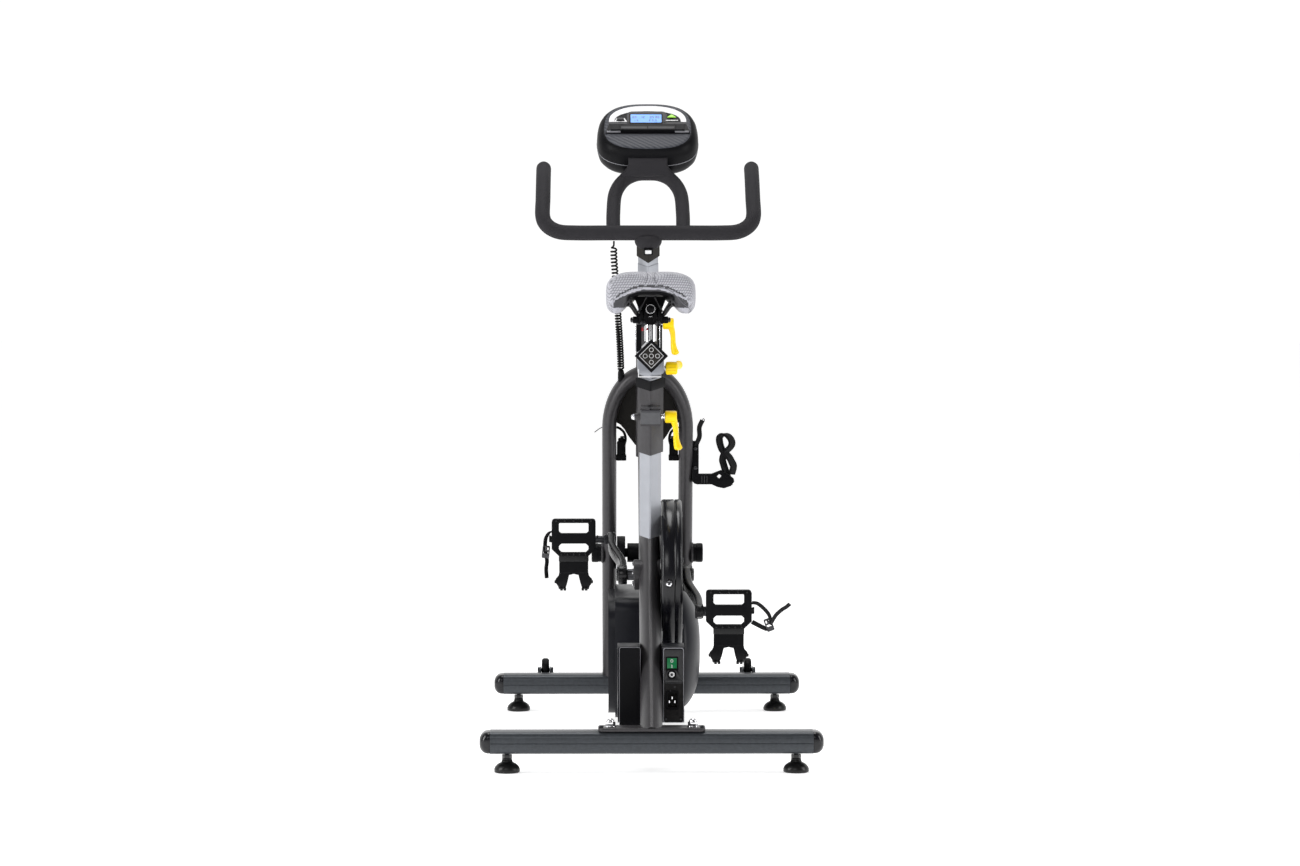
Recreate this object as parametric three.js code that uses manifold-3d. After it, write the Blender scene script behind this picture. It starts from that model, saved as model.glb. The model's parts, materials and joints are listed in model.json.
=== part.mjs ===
// Indoor exercise cycle: welded frame, belt drive, sliding seat and handlebar posts, console.
// Millimetres, +Z up. The rider faces +Y and the rider's right hand is at +X.
// The origin is on the floor, under the middle of the machine.

import * as THREE from 'three';
import { mergeVertices } from 'three/addons/utils/BufferGeometryUtils.js';
import Module from 'manifold-3d';

const wasm = await Module();
wasm.setup();

// ---------------------------------------------------------------- driving dimensions

const GAP = 0.3;                     // clearance between neighbouring pieces
const WALL = 3;                      // wall of the plastic housings

const REAR_Y = -525.5;               // centre of the rear stabiliser
const FRONT_Y = 474.5;               // centre of the front stabiliser
const STAB_HALF = 287;               // half the length of a stabiliser tube
const STAB_TOP = 75;
const STAB_DEPTH = 60;
const STAB_HEIGHT = 40;
const CAP_LENGTH = 18.5;
const FOOT_X = 257;
const WHEEL_X = 204;
const WHEEL_RADIUS = 24;
const WHEEL_Y = FRONT_Y + STAB_DEPTH / 2 + 3 + WHEEL_RADIUS;
const WHEEL_Z = 76;

const CRANK_Y = -165.5;              // crank axis
const CRANK_Z = 324;
const CRANK_LENGTH = 170;
const CRANK_TILT = THREE.MathUtils.degToRad(18.6);
const PEDAL_X = 142.5;
const PEDAL_WIDTH = 84;
const STRAP_SLOPE = 0.1;             // a pedal strap falls towards the toes

const BEAM_HALF_WIDTH = 20;
const BEAM_DEPTH = 75;
const BEAM_SLOPE = THREE.MathUtils.degToRad(36.4);

const HEAD_LEAN = THREE.MathUtils.degToRad(20);
const HEAD_Y = 242.5;                // a point on the head-tube axis
const HEAD_Z = 690;
const HEAD_OUTER = 24.3;             // half diagonals of the square tubes
const HEAD_INNER = 22;
const BAR_POST = 21.4;
const SEAT_LEAN = THREE.MathUtils.degToRad(17);
const SEAT_Y = -295.5;               // a point on the seat-tube axis
const SEAT_Z = 620;
const SEAT_OUTER = 25;
const SEAT_INNER = 21.9;
const SEAT_POST = 21.3;
const SLIDER_Z = 739;
const SLIDER_HALF = 26;
const SLIDER_REAR = -469.7;
const SLIDER_FRONT = -225.5;
const CRADLE_Y = -323;

const LEG_X = 75;                    // centre of an arch leg
const LEG_WIDTH = 28;
const LEG_DEPTH = 40;
const LEG_STRAIGHT = 534;            // length of a leg below the arch
const ARCH_RISE = 116;
const SHAFT_Z = 325;
const SHAFT_Y = HEAD_Y - (SHAFT_Z - HEAD_Z) * Math.tan(HEAD_LEAN);

const CRANK_PULLEY = 112;
const SHAFT_PULLEY = 30;
const STAGE_PULLEY = 40;
const ROTOR_PULLEY = 19;
const ROTOR_Y = 205;
const ROTOR_Z = 150;
const ROTOR_RADIUS = 92;
const BELT_THICKNESS = 2.5;
const BELT_X = 36;                   // inner edge of the drive belt
const BELT_WIDTH = 12;
const GUARD_RADIUS = 140;            // belt guard round the crank
const GUARD_NOSE = 46;               // belt guard round the cross shaft
const GUARD_X = [21, 59];

const BAR_Z = 958;                   // crossbar axis
const BAR_Y = HEAD_Y - (BAR_Z - HEAD_Z) * Math.tan(HEAD_LEAN);
const BAR_RADIUS = 14.5;
const CONSOLE_Y = 289.5;
const CONSOLE_Z = 1143;
const CONSOLE_TILT = THREE.MathUtils.degToRad(41);
const CONSOLE_HALF_THICKNESS = 29;
const MENU_AT = [-53, 21];           // keys on the console face
const MENU_KEY = 4.9;
const START_AT = [44, 29];
const START_KEY = 6.4;
const CORD_COIL_RADIUS = 6.2;
const SADDLE_Y = -275.5;
const LEVER_HUB = 11;
const LEVER_ARM = 62;
const LEVER_SPLAY = 0.2;

// ---------------------------------------------------------------- materials

function material(color, roughness, metalness = 0) {
  return new THREE.MeshStandardMaterial({ color, roughness, metalness });
}

const FRAME_PAINT = material(0x4d4b4e, 0.4, 0.3);
const SLATE_PAINT = material(0x4b4e52, 0.4, 0.3);
const BLACK_PLASTIC = material(0x151517, 0.5);
const GLOSS_BLACK = material(0x0e0e10, 0.2);
const RUBBER = material(0x2a2a2c, 0.85);
const SILVER = material(0xb9bbc0, 0.3, 0.8);
const CHROME = material(0xd0d0d4, 0.12, 1);
const STEEL = material(0x8a8c90, 0.35, 0.9);
const YELLOW = material(0xffd700, 0.35);
const SADDLE_VINYL = material(0xb9b9c3, 0.6);
const SCREEN = material(0x4f8fe0, 0.1);
const GREEN = material(0x0a8a3c, 0.4);
const WHITE = material(0xe8e8e8, 0.4);
const WEBBING = material(0x111112, 0.9);

// ---------------------------------------------------------------- scene graph helpers

const bike = new THREE.Group();

function addPart(name, geometry, partMaterial, parent = bike) {
  const mesh = new THREE.Mesh(geometry, partMaterial);
  mesh.name = name;
  parent.add(mesh);
  return mesh;
}

function leaningGroup(y, z, angle) {
  const group = new THREE.Group();
  group.position.set(0, y, z);
  group.rotation.x = angle;
  bike.add(group);
  return group;
}

// ---------------------------------------------------------------- solid helpers

function toManifold(geometry) {
  const plain = geometry.clone();
  plain.deleteAttribute('normal');
  plain.deleteAttribute('uv');
  const merged = mergeVertices(plain, 1e-3);
  const vertProperties = new Float32Array(merged.attributes.position.array);
  const triVerts = new Uint32Array(merged.index.array);
  return new wasm.Manifold(new wasm.Mesh({ numProp: 3, vertProperties, triVerts }));
}

function fromManifold(solid) {
  const mesh = solid.getMesh();
  const geometry = new THREE.BufferGeometry();
  geometry.setAttribute('position', new THREE.BufferAttribute(new Float32Array(mesh.vertProperties), 3));
  geometry.setIndex(new THREE.BufferAttribute(new Uint32Array(mesh.triVerts), 1));
  geometry.computeVertexNormals();
  return geometry;
}

function union(...geometries) {
  return fromManifold(geometries.map(toManifold).reduce((sum, next) => sum.add(next)));
}

function cut(geometry, ...tools) {
  const solid = tools.map(toManifold).reduce((rest, tool) => rest.subtract(tool), toManifold(geometry));
  return fromManifold(solid);
}

function box(x0, x1, y0, y1, z0, z1) {
  const geometry = new THREE.BoxGeometry(x1 - x0, y1 - y0, z1 - z0);
  return geometry.translate((x0 + x1) / 2, (y0 + y1) / 2, (z0 + z1) / 2);
}

function rodX(radius, x0, x1, y, z, sides = 20) {
  const geometry = new THREE.CylinderGeometry(radius, radius, x1 - x0, sides);
  return geometry.rotateZ(-Math.PI / 2).translate((x0 + x1) / 2, y, z);
}

function rodY(radius, y0, y1, x, z, sides = 16) {
  const geometry = new THREE.CylinderGeometry(radius, radius, y1 - y0, sides);
  return geometry.translate(x, (y0 + y1) / 2, z);
}

function rodZ(radius, z0, z1, x, y, sides = 16) {
  const geometry = new THREE.CylinderGeometry(radius, radius, z1 - z0, sides);
  return geometry.rotateX(Math.PI / 2).translate(x, y, (z0 + z1) / 2);
}

function roundedRect(x0, x1, y0, y1, radius) {
  const shape = new THREE.Shape();
  shape.moveTo(x1, y0 + radius);
  shape.lineTo(x1, y1 - radius);
  shape.absarc(x1 - radius, y1 - radius, radius, 0, Math.PI / 2);
  shape.absarc(x0 + radius, y1 - radius, radius, Math.PI / 2, Math.PI);
  shape.absarc(x0 + radius, y0 + radius, radius, Math.PI, Math.PI * 1.5);
  shape.absarc(x1 - radius, y0 + radius, radius, Math.PI * 1.5, Math.PI * 2);
  return shape;
}

function extrude(shape, depth, curveSegments = 2) {
  return new THREE.ExtrudeGeometry(shape, { depth, bevelEnabled: false, curveSegments });
}

// A shape drawn in (Y, Z) and extruded from x0 to x1.
function slabX(shape, x0, x1, curveSegments = 2) {
  const geometry = extrude(shape, x1 - x0, curveSegments);
  const turn = new THREE.Matrix4().makeBasis(
    new THREE.Vector3(0, 1, 0), new THREE.Vector3(0, 0, 1), new THREE.Vector3(1, 0, 0));
  return geometry.applyMatrix4(turn).translate(x0, 0, 0);
}

// A shape drawn in (X, Z) and extruded from y0 to y1.
function slabY(shape, y0, y1, curveSegments = 2) {
  const geometry = extrude(shape, y1 - y0, curveSegments);
  return geometry.rotateX(Math.PI / 2).translate(0, y1, 0);
}

function diamond(half, chamfer = 1.5) {
  const shape = new THREE.Shape();
  shape.moveTo(half - chamfer, -chamfer);
  shape.lineTo(half - chamfer, chamfer);
  shape.lineTo(chamfer, half - chamfer);
  shape.lineTo(-chamfer, half - chamfer);
  shape.lineTo(-half + chamfer, chamfer);
  shape.lineTo(-half + chamfer, -chamfer);
  shape.lineTo(-chamfer, -half + chamfer);
  shape.lineTo(chamfer, -half + chamfer);
  shape.closePath();
  return shape;
}

// A square tube on edge, along local Z.
function diamondTube(outer, inner, z0, z1) {
  const shape = diamond(outer);
  if (inner > 0) {
    shape.holes.push(new THREE.Path(diamond(inner).getPoints()));
  }
  return extrude(shape, z1 - z0, 1).translate(0, 0, z0);
}

function tube(points, radius, steps, sides = 10) {
  const curve = new THREE.CatmullRomCurve3(points.map(p => new THREE.Vector3(...p)));
  const section = new THREE.Shape();
  section.absarc(0, 0, radius, 0, Math.PI * 2);
  const settings = { steps, bevelEnabled: false, curveSegments: sides / 2, extrudePath: curve };
  return new THREE.ExtrudeGeometry(section, settings);
}

// A closed skin over rings of points that all have the same count.
function loft(rings) {
  const count = rings[0].length;
  const positions = rings.flat().flatMap(p => [p.x, p.y, p.z]);
  const triangles = [];
  for (let ring = 0; ring < rings.length - 1; ring += 1) {
    for (let i = 0; i < count; i += 1) {
      const a = ring * count + i;
      const b = ring * count + (i + 1) % count;
      triangles.push(a, b, a + count, b, b + count, a + count);
    }
  }
  const last = (rings.length - 1) * count;
  for (let i = 0, j = count - 1; j - i > 1; i += 1, j -= 1) {
    triangles.push(i, j, i + 1, last + i, last + i + 1, last + j);
    if (j - i > 2) {
      triangles.push(i + 1, j, j - 1, last + i + 1, last + j - 1, last + j);
    }
  }
  const geometry = new THREE.BufferGeometry();
  geometry.setAttribute('position', new THREE.Float32BufferAttribute(positions, 3));
  geometry.setIndex(triangles);
  return facesOutward(geometry) ? geometry : reversed(geometry);
}

// The signed volume of an indexed closed skin is positive when its faces point out.
function facesOutward(geometry) {
  const { position } = geometry.attributes;
  const corner = i => new THREE.Vector3().fromBufferAttribute(position, geometry.index.getX(i));
  let volume = 0;
  for (let i = 0; i < geometry.index.count; i += 3) {
    volume += corner(i).dot(corner(i + 1).cross(corner(i + 2)));
  }
  return volume > 0;
}

function reversed(geometry) {
  const { index } = geometry;
  const flipped = [];
  for (let i = 0; i < index.count; i += 3) {
    flipped.push(index.getX(i), index.getX(i + 2), index.getX(i + 1));
  }
  return geometry.clone().setIndex(flipped);
}

function mirrorX(geometry) {
  const indexed = geometry.index ? geometry.clone() : mergeVertices(geometry);
  return reversed(indexed.applyMatrix4(new THREE.Matrix4().makeScale(-1, 1, 1)));
}

// The outline of a belt round two pulleys, in (Y, Z).
function beltOutline(ya, za, ra, yb, zb, rb) {
  const direction = Math.atan2(zb - za, yb - ya);
  const spread = Math.acos((ra - rb) / Math.hypot(yb - ya, zb - za));
  const shape = new THREE.Shape();
  shape.absarc(ya, za, ra, direction + spread, direction - spread + Math.PI * 2);
  shape.absarc(yb, zb, rb, direction - spread, direction + spread);
  shape.closePath();
  return shape;
}

function beltLoop(x0, x1, ya, za, ra, yb, zb, rb) {
  const steps = 12;
  const outer = beltOutline(ya, za, ra + BELT_THICKNESS, yb, zb, rb + BELT_THICKNESS);
  outer.holes.push(new THREE.Path(beltOutline(ya, za, ra + GAP, yb, zb, rb + GAP).getPoints(steps)));
  return slabX(outer, x0, x1, steps);
}

// ---------------------------------------------------------------- base

function stabiliserTube(y) {
  const section = roundedRect(y - STAB_DEPTH / 2, y + STAB_DEPTH / 2, STAB_TOP - STAB_HEIGHT, STAB_TOP, 13);
  const stemHoles = [-1, 1].map(side => rodZ(4.6, 0, STAB_TOP - 8, side * FOOT_X, y, 12));
  return cut(slabX(section, -STAB_HALF, STAB_HALF), ...stemHoles);
}

// Domed end cap: rounded sections that shrink towards the outside.
function endCap(y, side) {
  const stations = [[0, 0], [7, 0.6], [13, 4], [16.8, 9.5], [CAP_LENGTH, 15.5]];
  const middle = STAB_TOP - STAB_HEIGHT / 2;
  const rings = stations.map(([along, shrink]) => {
    const halfY = STAB_DEPTH / 2 - shrink;
    const halfZ = STAB_HEIGHT / 2 - shrink;
    const outline = roundedRect(-halfY, halfY, -halfZ, halfZ, Math.min(13, halfZ - 0.5)).getPoints(2);
    const ring = outline.slice(0, -1);
    const x = STAB_HALF + GAP + along * (1 - GAP / CAP_LENGTH);
    return ring.map(p => new THREE.Vector3(x, y + p.x, middle + p.y));
  });
  const cap = loft(rings);
  return side > 0 ? cap : mirrorX(cap);
}

function wheelBracket(side) {
  const x = side * WHEEL_X;
  const root = FRONT_Y + STAB_DEPTH / 2 - 2;
  const ear = offset => box(x + offset - 1.5, x + offset + 1.5, root, WHEEL_Y + 7, WHEEL_Z - 18, WHEEL_Z + 7);
  return [ear(-10.2), ear(10.2), rodX(4, x - 14, x + 14, WHEEL_Y, WHEEL_Z, 12)];
}

function transportWheel() {
  const profile = [
    [5, -7.5], [20, -7.5], [WHEEL_RADIUS, -4], [WHEEL_RADIUS, 4], [20, 7.5], [5, 7.5], [5, -7.5],
  ];
  const wheel = new THREE.LatheGeometry(profile.map(([r, h]) => new THREE.Vector2(r, h)), 20);
  return wheel.rotateZ(-Math.PI / 2);
}

function levellingFoot() {
  const profile = [
    [0, 0], [21.5, 0], [23, 2.5], [23, 8], [18, 16.5], [8.5, 21.5],
    [8, 32.5], [4.1, 32.6], [4.1, 58], [0, 58],
  ];
  const foot = new THREE.LatheGeometry(profile.map(([r, h]) => new THREE.Vector2(r, h)), 14);
  return foot.rotateX(Math.PI / 2);
}

function makeBase() {
  const front = union(stabiliserTube(FRONT_Y), ...wheelBracket(-1), ...wheelBracket(1));
  addPart('rear_stabiliser', stabiliserTube(REAR_Y), SLATE_PAINT);
  addPart('front_stabiliser', front, SLATE_PAINT);
  for (const [end, y] of [['rear', REAR_Y], ['front', FRONT_Y]]) {
    for (const [hand, side] of [['left', -1], ['right', 1]]) {
      addPart(`end_cap_${end}_${hand}`, endCap(y, side), BLACK_PLASTIC);
      addPart(`foot_${end}_${hand}`, levellingFoot(), RUBBER).position.set(side * FOOT_X, y, 0);
    }
  }
  for (const [hand, side] of [['left', -1], ['right', 1]]) {
    addPart(`transport_wheel_${hand}`, transportWheel(), BLACK_PLASTIC)
      .position.set(side * WHEEL_X, WHEEL_Y, WHEEL_Z);
  }
}

// ---------------------------------------------------------------- welded frame

// A straight tube of the beam's section through the crank axis, with room added all round.
function beamPrism(grow, from = -460, to = 620) {
  const section = new THREE.Shape();
  section.absellipse(0, 0, BEAM_HALF_WIDTH + grow, BEAM_DEPTH / 2 + grow, 0, Math.PI * 2);
  const prism = extrude(section, to - from, 8).translate(0, 0, from);
  return prism.rotateX(BEAM_SLOPE - Math.PI / 2).translate(0, CRANK_Y, CRANK_Z);
}

function leaned(geometry, y, z, angle) {
  return geometry.rotateX(angle).translate(0, y, z);
}

// Everything in front of the head tube's axis, and the head tube itself with a gap.
function headEnvelope() {
  return [
    leaned(diamondTube(HEAD_OUTER + GAP * 1.5, 0, -400, 400), HEAD_Y, HEAD_Z, HEAD_LEAN),
    leaned(box(-80, 80, 0, 300, -500, 500), HEAD_Y, HEAD_Z, HEAD_LEAN),
  ];
}

function mainBeam() {
  const plateTop = STAB_TOP + 6.5;
  const toe = REAR_Y - 28;
  const trimmed = cut(
    beamPrism(0), ...headEnvelope(),
    box(-80, 80, -900, 900, -300, STAB_TOP + 3), box(-80, 80, -900, toe, 0, 300));
  const plate = box(-95, 95, toe, REAR_Y + 28, STAB_TOP + GAP, plateTop);
  const nuts = [-1, 1].flatMap(side => [
    rodZ(9, plateTop - 1, plateTop + 9, side * 73.5, REAR_Y, 6),
    rodZ(6.5, plateTop + 8, plateTop + 15, side * 73.5, REAR_Y, 10),
  ]);
  const shell = rodX(28, -30, BEAM_HALF_WIDTH, CRANK_Y, CRANK_Z, 24);
  return cut(union(trimmed, plate, shell, ...nuts), rodX(11.5, -60, 60, CRANK_Y, CRANK_Z, 24));
}

// A leg stands on the front stabiliser and bends over in an ellipse to the head tube.
function archLeg(side) {
  const path = new THREE.CurvePath();
  const foot = new THREE.Vector3(LEG_X, 0, 0);
  const bend = new THREE.Vector3(LEG_X, 0, LEG_STRAIGHT);
  path.add(new THREE.LineCurve3(foot, bend));
  const steps = 9;
  let from = bend;
  for (let i = 1; i <= steps; i += 1) {
    const angle = (i / steps) * Math.PI / 2;
    const to = new THREE.Vector3(LEG_X * Math.cos(angle), 0, LEG_STRAIGHT + ARCH_RISE * Math.sin(angle));
    path.add(new THREE.LineCurve3(from, to));
    from = to;
  }
  const stations = [foot, ...path.curves.map(curve => curve.v2)];
  const rings = stations.map((point, i) => {
    const angle = i < 2 ? 0 : ((i - 1) / steps) * Math.PI / 2;
    const normal = new THREE.Vector3(ARCH_RISE * Math.cos(angle), 0, LEG_X * Math.sin(angle)).normalize();
    const ring = [];
    for (let k = 0; k < 12; k += 1) {
      const turn = (k / 12) * Math.PI * 2;
      const across = normal.clone().multiplyScalar(LEG_WIDTH / 2 * Math.cos(turn));
      ring.push(point.clone().add(across).add(new THREE.Vector3(0, LEG_DEPTH / 2 * Math.sin(turn), 0)));
    }
    return ring;
  });
  const footY = HEAD_Y + (HEAD_Z - STAB_TOP - GAP) * Math.tan(HEAD_LEAN);
  const tubeSolid = leaned(loft(rings), footY, STAB_TOP + GAP, HEAD_LEAN);
  const boss = rodX(19, LEG_X, 110.5, SHAFT_Y, SHAFT_Z, 20);
  const leg = cut(
    union(tubeSolid, boss),
    leaned(diamondTube(HEAD_OUTER + GAP * 1.5, 0, -400, 400), HEAD_Y, HEAD_Z, HEAD_LEAN),
    box(-100, GAP, -900, 900, 0, 1200),
    box(-200, 200, -900, 900, 0, STAB_TOP + GAP),
    rodX(10, 40, 102, SHAFT_Y, SHAFT_Z, 20));
  return side > 0 ? leg : mirrorX(leg);
}

// Shield across the inside of the arch, with a V-shaped lower edge and two hanging pads.
function archShield() {
  const shape = new THREE.Shape();
  shape.moveTo(-79, -113);
  shape.lineTo(-54, -122);
  shape.lineTo(-38, -145);
  shape.lineTo(-24, -168);
  shape.lineTo(24, -168);
  shape.lineTo(38, -145);
  shape.lineTo(54, -122);
  shape.lineTo(79, -113);
  shape.absellipse(0, -113, 79, 108, 0, Math.PI);
  const pads = [-1, 1].map(side => box(side * 52 - 8, side * 52 + 8, 24, 33, -186, -118));
  return union(slabY(shape, 24.8, 28.8, 6), ...pads);
}

function makeFrame() {
  addPart('main_beam', mainBeam(), FRAME_PAINT);
  addPart('arch_leg_left', archLeg(-1), FRAME_PAINT);
  addPart('arch_leg_right', archLeg(1), FRAME_PAINT);

  const head = leaningGroup(HEAD_Y, HEAD_Z, HEAD_LEAN);
  addPart('head_tube', diamondTube(HEAD_OUTER, HEAD_INNER, -181, 106), FRAME_PAINT, head);
  addPart('arch_shield', archShield(), BLACK_PLASTIC, head);

  const topSection = roundedRect(-19, 19, -22, 22, 10);
  const topLength = 620;
  const topSlope = THREE.MathUtils.degToRad(2.5);
  const topPrism = extrude(topSection, topLength, 3).rotateX(topSlope - Math.PI / 2)
    .translate(0, SEAT_Y, SEAT_Z - 5);
  const seatEnvelope = [
    leaned(diamondTube(SEAT_OUTER + GAP * 1.5, 0, -300, 300), SEAT_Y, SEAT_Z, SEAT_LEAN),
    leaned(box(-80, 80, -200, 0, -300, 300), SEAT_Y, SEAT_Z, SEAT_LEAN),
  ];
  addPart('top_tube', cut(topPrism, ...seatEnvelope, ...headEnvelope(), beamPrism(GAP * 1.5)), FRAME_PAINT);

  const seat = leaningGroup(SEAT_Y, SEAT_Z, SEAT_LEAN);
  const block = box(-18.5, 18.5, -28.5, -7, -5, 21);
  const bolt = rodX(6.5, -29, -15, -17, 9, 12);
  const sleeve = union(diamondTube(SEAT_OUTER, 0, -64, 69), block, bolt);
  addPart('seat_tube', cut(sleeve, diamondTube(SEAT_INNER, 0, -90, 90)), FRAME_PAINT, seat);
  const collar = cut(
    diamondTube(28.6, 0, 62, 79),
    diamondTube(SEAT_INNER, 0, 50, 90),
    diamondTube(SEAT_OUTER + GAP * 1.5, 0, 50, 69.4));
  addPart('seat_collar', collar, BLACK_PLASTIC, seat);
}

// ---------------------------------------------------------------- drive

function crankArm(side) {
  const inner = side > 0 ? 63 : 43;
  const outer = side > 0 ? 82 : 64;
  const stations = [[0, inner, 17], [30, inner, 14], [90, (inner * 2 + outer) / 3, 12],
    [140, outer - 1, 12], [CRANK_LENGTH, outer, 13.5]];
  const rings = [];
  const thickness = 13;
  const ends = [[-13, inner, 8], ...stations, [CRANK_LENGTH + 12, outer, 7]];
  for (const [along, x, half] of ends) {
    rings.push([
      new THREE.Vector3(x, along, -half), new THREE.Vector3(x + thickness, along, -half),
      new THREE.Vector3(x + thickness, along, half), new THREE.Vector3(x, along, half),
    ]);
  }
  const arm = loft(rings);
  const spindle = rodX(7, outer + 4, PEDAL_X + PEDAL_WIDTH / 2 - 12, CRANK_LENGTH, 0, 16);
  const hub = rodX(18, inner - 1, inner + thickness + 3, 0, 0, 20);
  const axleHole = rodX(9.5, 0, inner + 11, 0, 0, 16);
  const solid = cut(union(arm, hub, spindle), axleHole);
  return side > 0 ? solid : mirrorX(solid);
}

// Pedal hanging from its axle, toe cage down and curling forward.
function pedalBody() {
  const half = PEDAL_WIDTH / 2;
  const frame = slabY(roundedRect(-half, half, -30, 39, 9), -11, 11, 3);
  const windows = [box(-28, 28, -20, 20, 14, 30), box(-28, 28, -20, 20, -22, -13.5)];
  const cagePath = [[0, -26], [3, -48], [13, -72], [34, -86], [54, -80], [62, -62], [60, -44]];
  const thickness = 3.5;
  const upper = cagePath.map(([y, z]) => new THREE.Vector2(y, z));
  const outline = new THREE.Shape();
  const curve = new THREE.SplineCurve(upper);
  const samples = curve.getPoints(12);
  const offsets = samples.map((p, i) => {
    const tangent = curve.getTangent(i / 12);
    return new THREE.Vector2(p.x + tangent.y * thickness, p.y - tangent.x * thickness);
  });
  outline.setFromPoints([...samples, ...offsets.reverse()]);
  const cage = slabX(outline, -32, 32);
  const notch = box(-10.5, 10.5, -20, 80, -110, -66);
  const axleTube = rodX(12, -half + 4, half - 4, 0, 0, 16);
  const solid = union(cut(frame, ...windows), cut(cage, notch), axleTube);
  return cut(solid, rodX(8, -half - 5, half - 8, 0, 0, 16));
}

// Strap round the foot space, from one side of the pedal to the other.
function pedalStrap() {
  const half = PEDAL_WIDTH / 2;
  const path = new THREE.Shape();
  const height = 66;
  path.absellipse(0, 13, half + 3.2, height, 0, Math.PI);
  path.absellipse(0, 13, half + 0.6, height - 2.6, Math.PI, 0, true);
  return extrude(path, 18, 5).translate(0, 0, -9);
}

function makeDrive() {
  const axle = rodX(10.5, -41.6, 61.6, CRANK_Y, CRANK_Z, 20);
  const spline = rodX(9, -53.5, 73.5, CRANK_Y, CRANK_Z, 16);
  const web = rodX(CRANK_PULLEY - 8, 40, 44, CRANK_Y, CRANK_Z, 24);
  const rim = cut(
    rodX(CRANK_PULLEY - GAP, BELT_X - 1, BELT_X + BELT_WIDTH + 1, CRANK_Y, CRANK_Z, 32),
    rodX(CRANK_PULLEY - 10, 0, 100, CRANK_Y, CRANK_Z, 24));
  const hub = rodX(24, 30, 55, CRANK_Y, CRANK_Z, 20);
  addPart('crank_axle', union(axle, spline, web, rim, hub), STEEL);

  const left = leaningGroup(CRANK_Y, CRANK_Z, CRANK_TILT);
  addPart('crank_left', crankArm(-1), BLACK_PLASTIC, left);
  const right = leaningGroup(CRANK_Y, CRANK_Z, CRANK_TILT + Math.PI);
  addPart('crank_right', crankArm(1), BLACK_PLASTIC, right);

  for (const [hand, side] of [['left', -1], ['right', 1]]) {
    const direction = -side;
    const pedal = new THREE.Group();
    pedal.position.set(
      side * PEDAL_X, CRANK_Y + direction * CRANK_LENGTH * Math.cos(CRANK_TILT),
      CRANK_Z + direction * CRANK_LENGTH * Math.sin(CRANK_TILT));
    bike.add(pedal);
    const body = side > 0 ? pedalBody() : mirrorX(pedalBody());
    addPart(`pedal_${hand}`, body, BLACK_PLASTIC, pedal);
    addPart(`pedal_strap_${hand}`, pedalStrap().rotateX(-STRAP_SLOPE), WEBBING, pedal);
  }

  addPart('drive_belt', beltLoop(
    BELT_X, BELT_X + BELT_WIDTH, CRANK_Y, CRANK_Z, CRANK_PULLEY, SHAFT_Y, SHAFT_Z, SHAFT_PULLEY), RUBBER);
  addPart('generator_belt', beltLoop(
    -6, 6, SHAFT_Y, SHAFT_Z, STAGE_PULLEY, ROTOR_Y, ROTOR_Z, ROTOR_PULLEY), RUBBER);

  const shaft = union(
    rodX(9, -98, 98, SHAFT_Y, SHAFT_Z, 16),
    rodX(33, -60, -43.5, SHAFT_Y, SHAFT_Z, 24),
    rodX(19, -39.5, -16, SHAFT_Y, SHAFT_Z, 20),
    rodX(STAGE_PULLEY - GAP, -7, 7, SHAFT_Y, SHAFT_Z, 28),
    rodX(SHAFT_PULLEY - GAP, BELT_X - 1, BELT_X + BELT_WIDTH + 1, SHAFT_Y, SHAFT_Z, 24));
  addPart('cross_shaft', shaft, BLACK_PLASTIC);

  const rotor = union(
    rodX(8, -68, 84, ROTOR_Y, ROTOR_Z, 16),
    rodX(ROTOR_PULLEY - GAP, -7, 7, ROTOR_Y, ROTOR_Z, 20),
    rodX(ROTOR_RADIUS, 22, 58, ROTOR_Y, ROTOR_Z, 28));
  addPart('generator_rotor', rotor, STEEL);
}

// Belt guard in two halves that meet along the middle of its rim.
function guardOutline(grow) {
  return beltOutline(CRANK_Y, CRANK_Z, GUARD_RADIUS + grow, SHAFT_Y, SHAFT_Z, GUARD_NOSE + grow);
}

function makeBeltGuard() {
  const [innerFace, outerFace] = GUARD_X;
  const seam = 45.3;
  const half = (x0, x1, wallAt) => {
    const inside = wallAt === 'inner' ? [x0 + WALL, x1 + 5] : [x0 - 5, x1 - WALL];
    return cut(slabX(guardOutline(0), x0, x1, 8), slabX(guardOutline(-WALL), ...inside, 8));
  };
  const axleHole = rodX(14, 0, 100, CRANK_Y, CRANK_Z, 16);
  const shaftHole = rodX(12, 0, 100, SHAFT_Y, SHAFT_Z, 16);
  const screwBoss = rodY(7.8, CRANK_Y - GUARD_RADIUS - 6, CRANK_Y - GUARD_RADIUS + 8, 34, CRANK_Z - 5, 12);
  const beltRoom = slabX(guardOutline(-WALL), innerFace + WALL, outerFace + 4, 8);
  const band = union(half(innerFace, seam - GAP, 'inner'), screwBoss);
  addPart('belt_guard_inner', cut(band, axleHole, shaftHole, beltRoom), GLOSS_BLACK);
  addPart('belt_guard_outer', cut(half(seam + GAP, outerFace, 'outer'), axleHole, shaftHole), GLOSS_BLACK);
}

// ---------------------------------------------------------------- lower housing and switches

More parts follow.
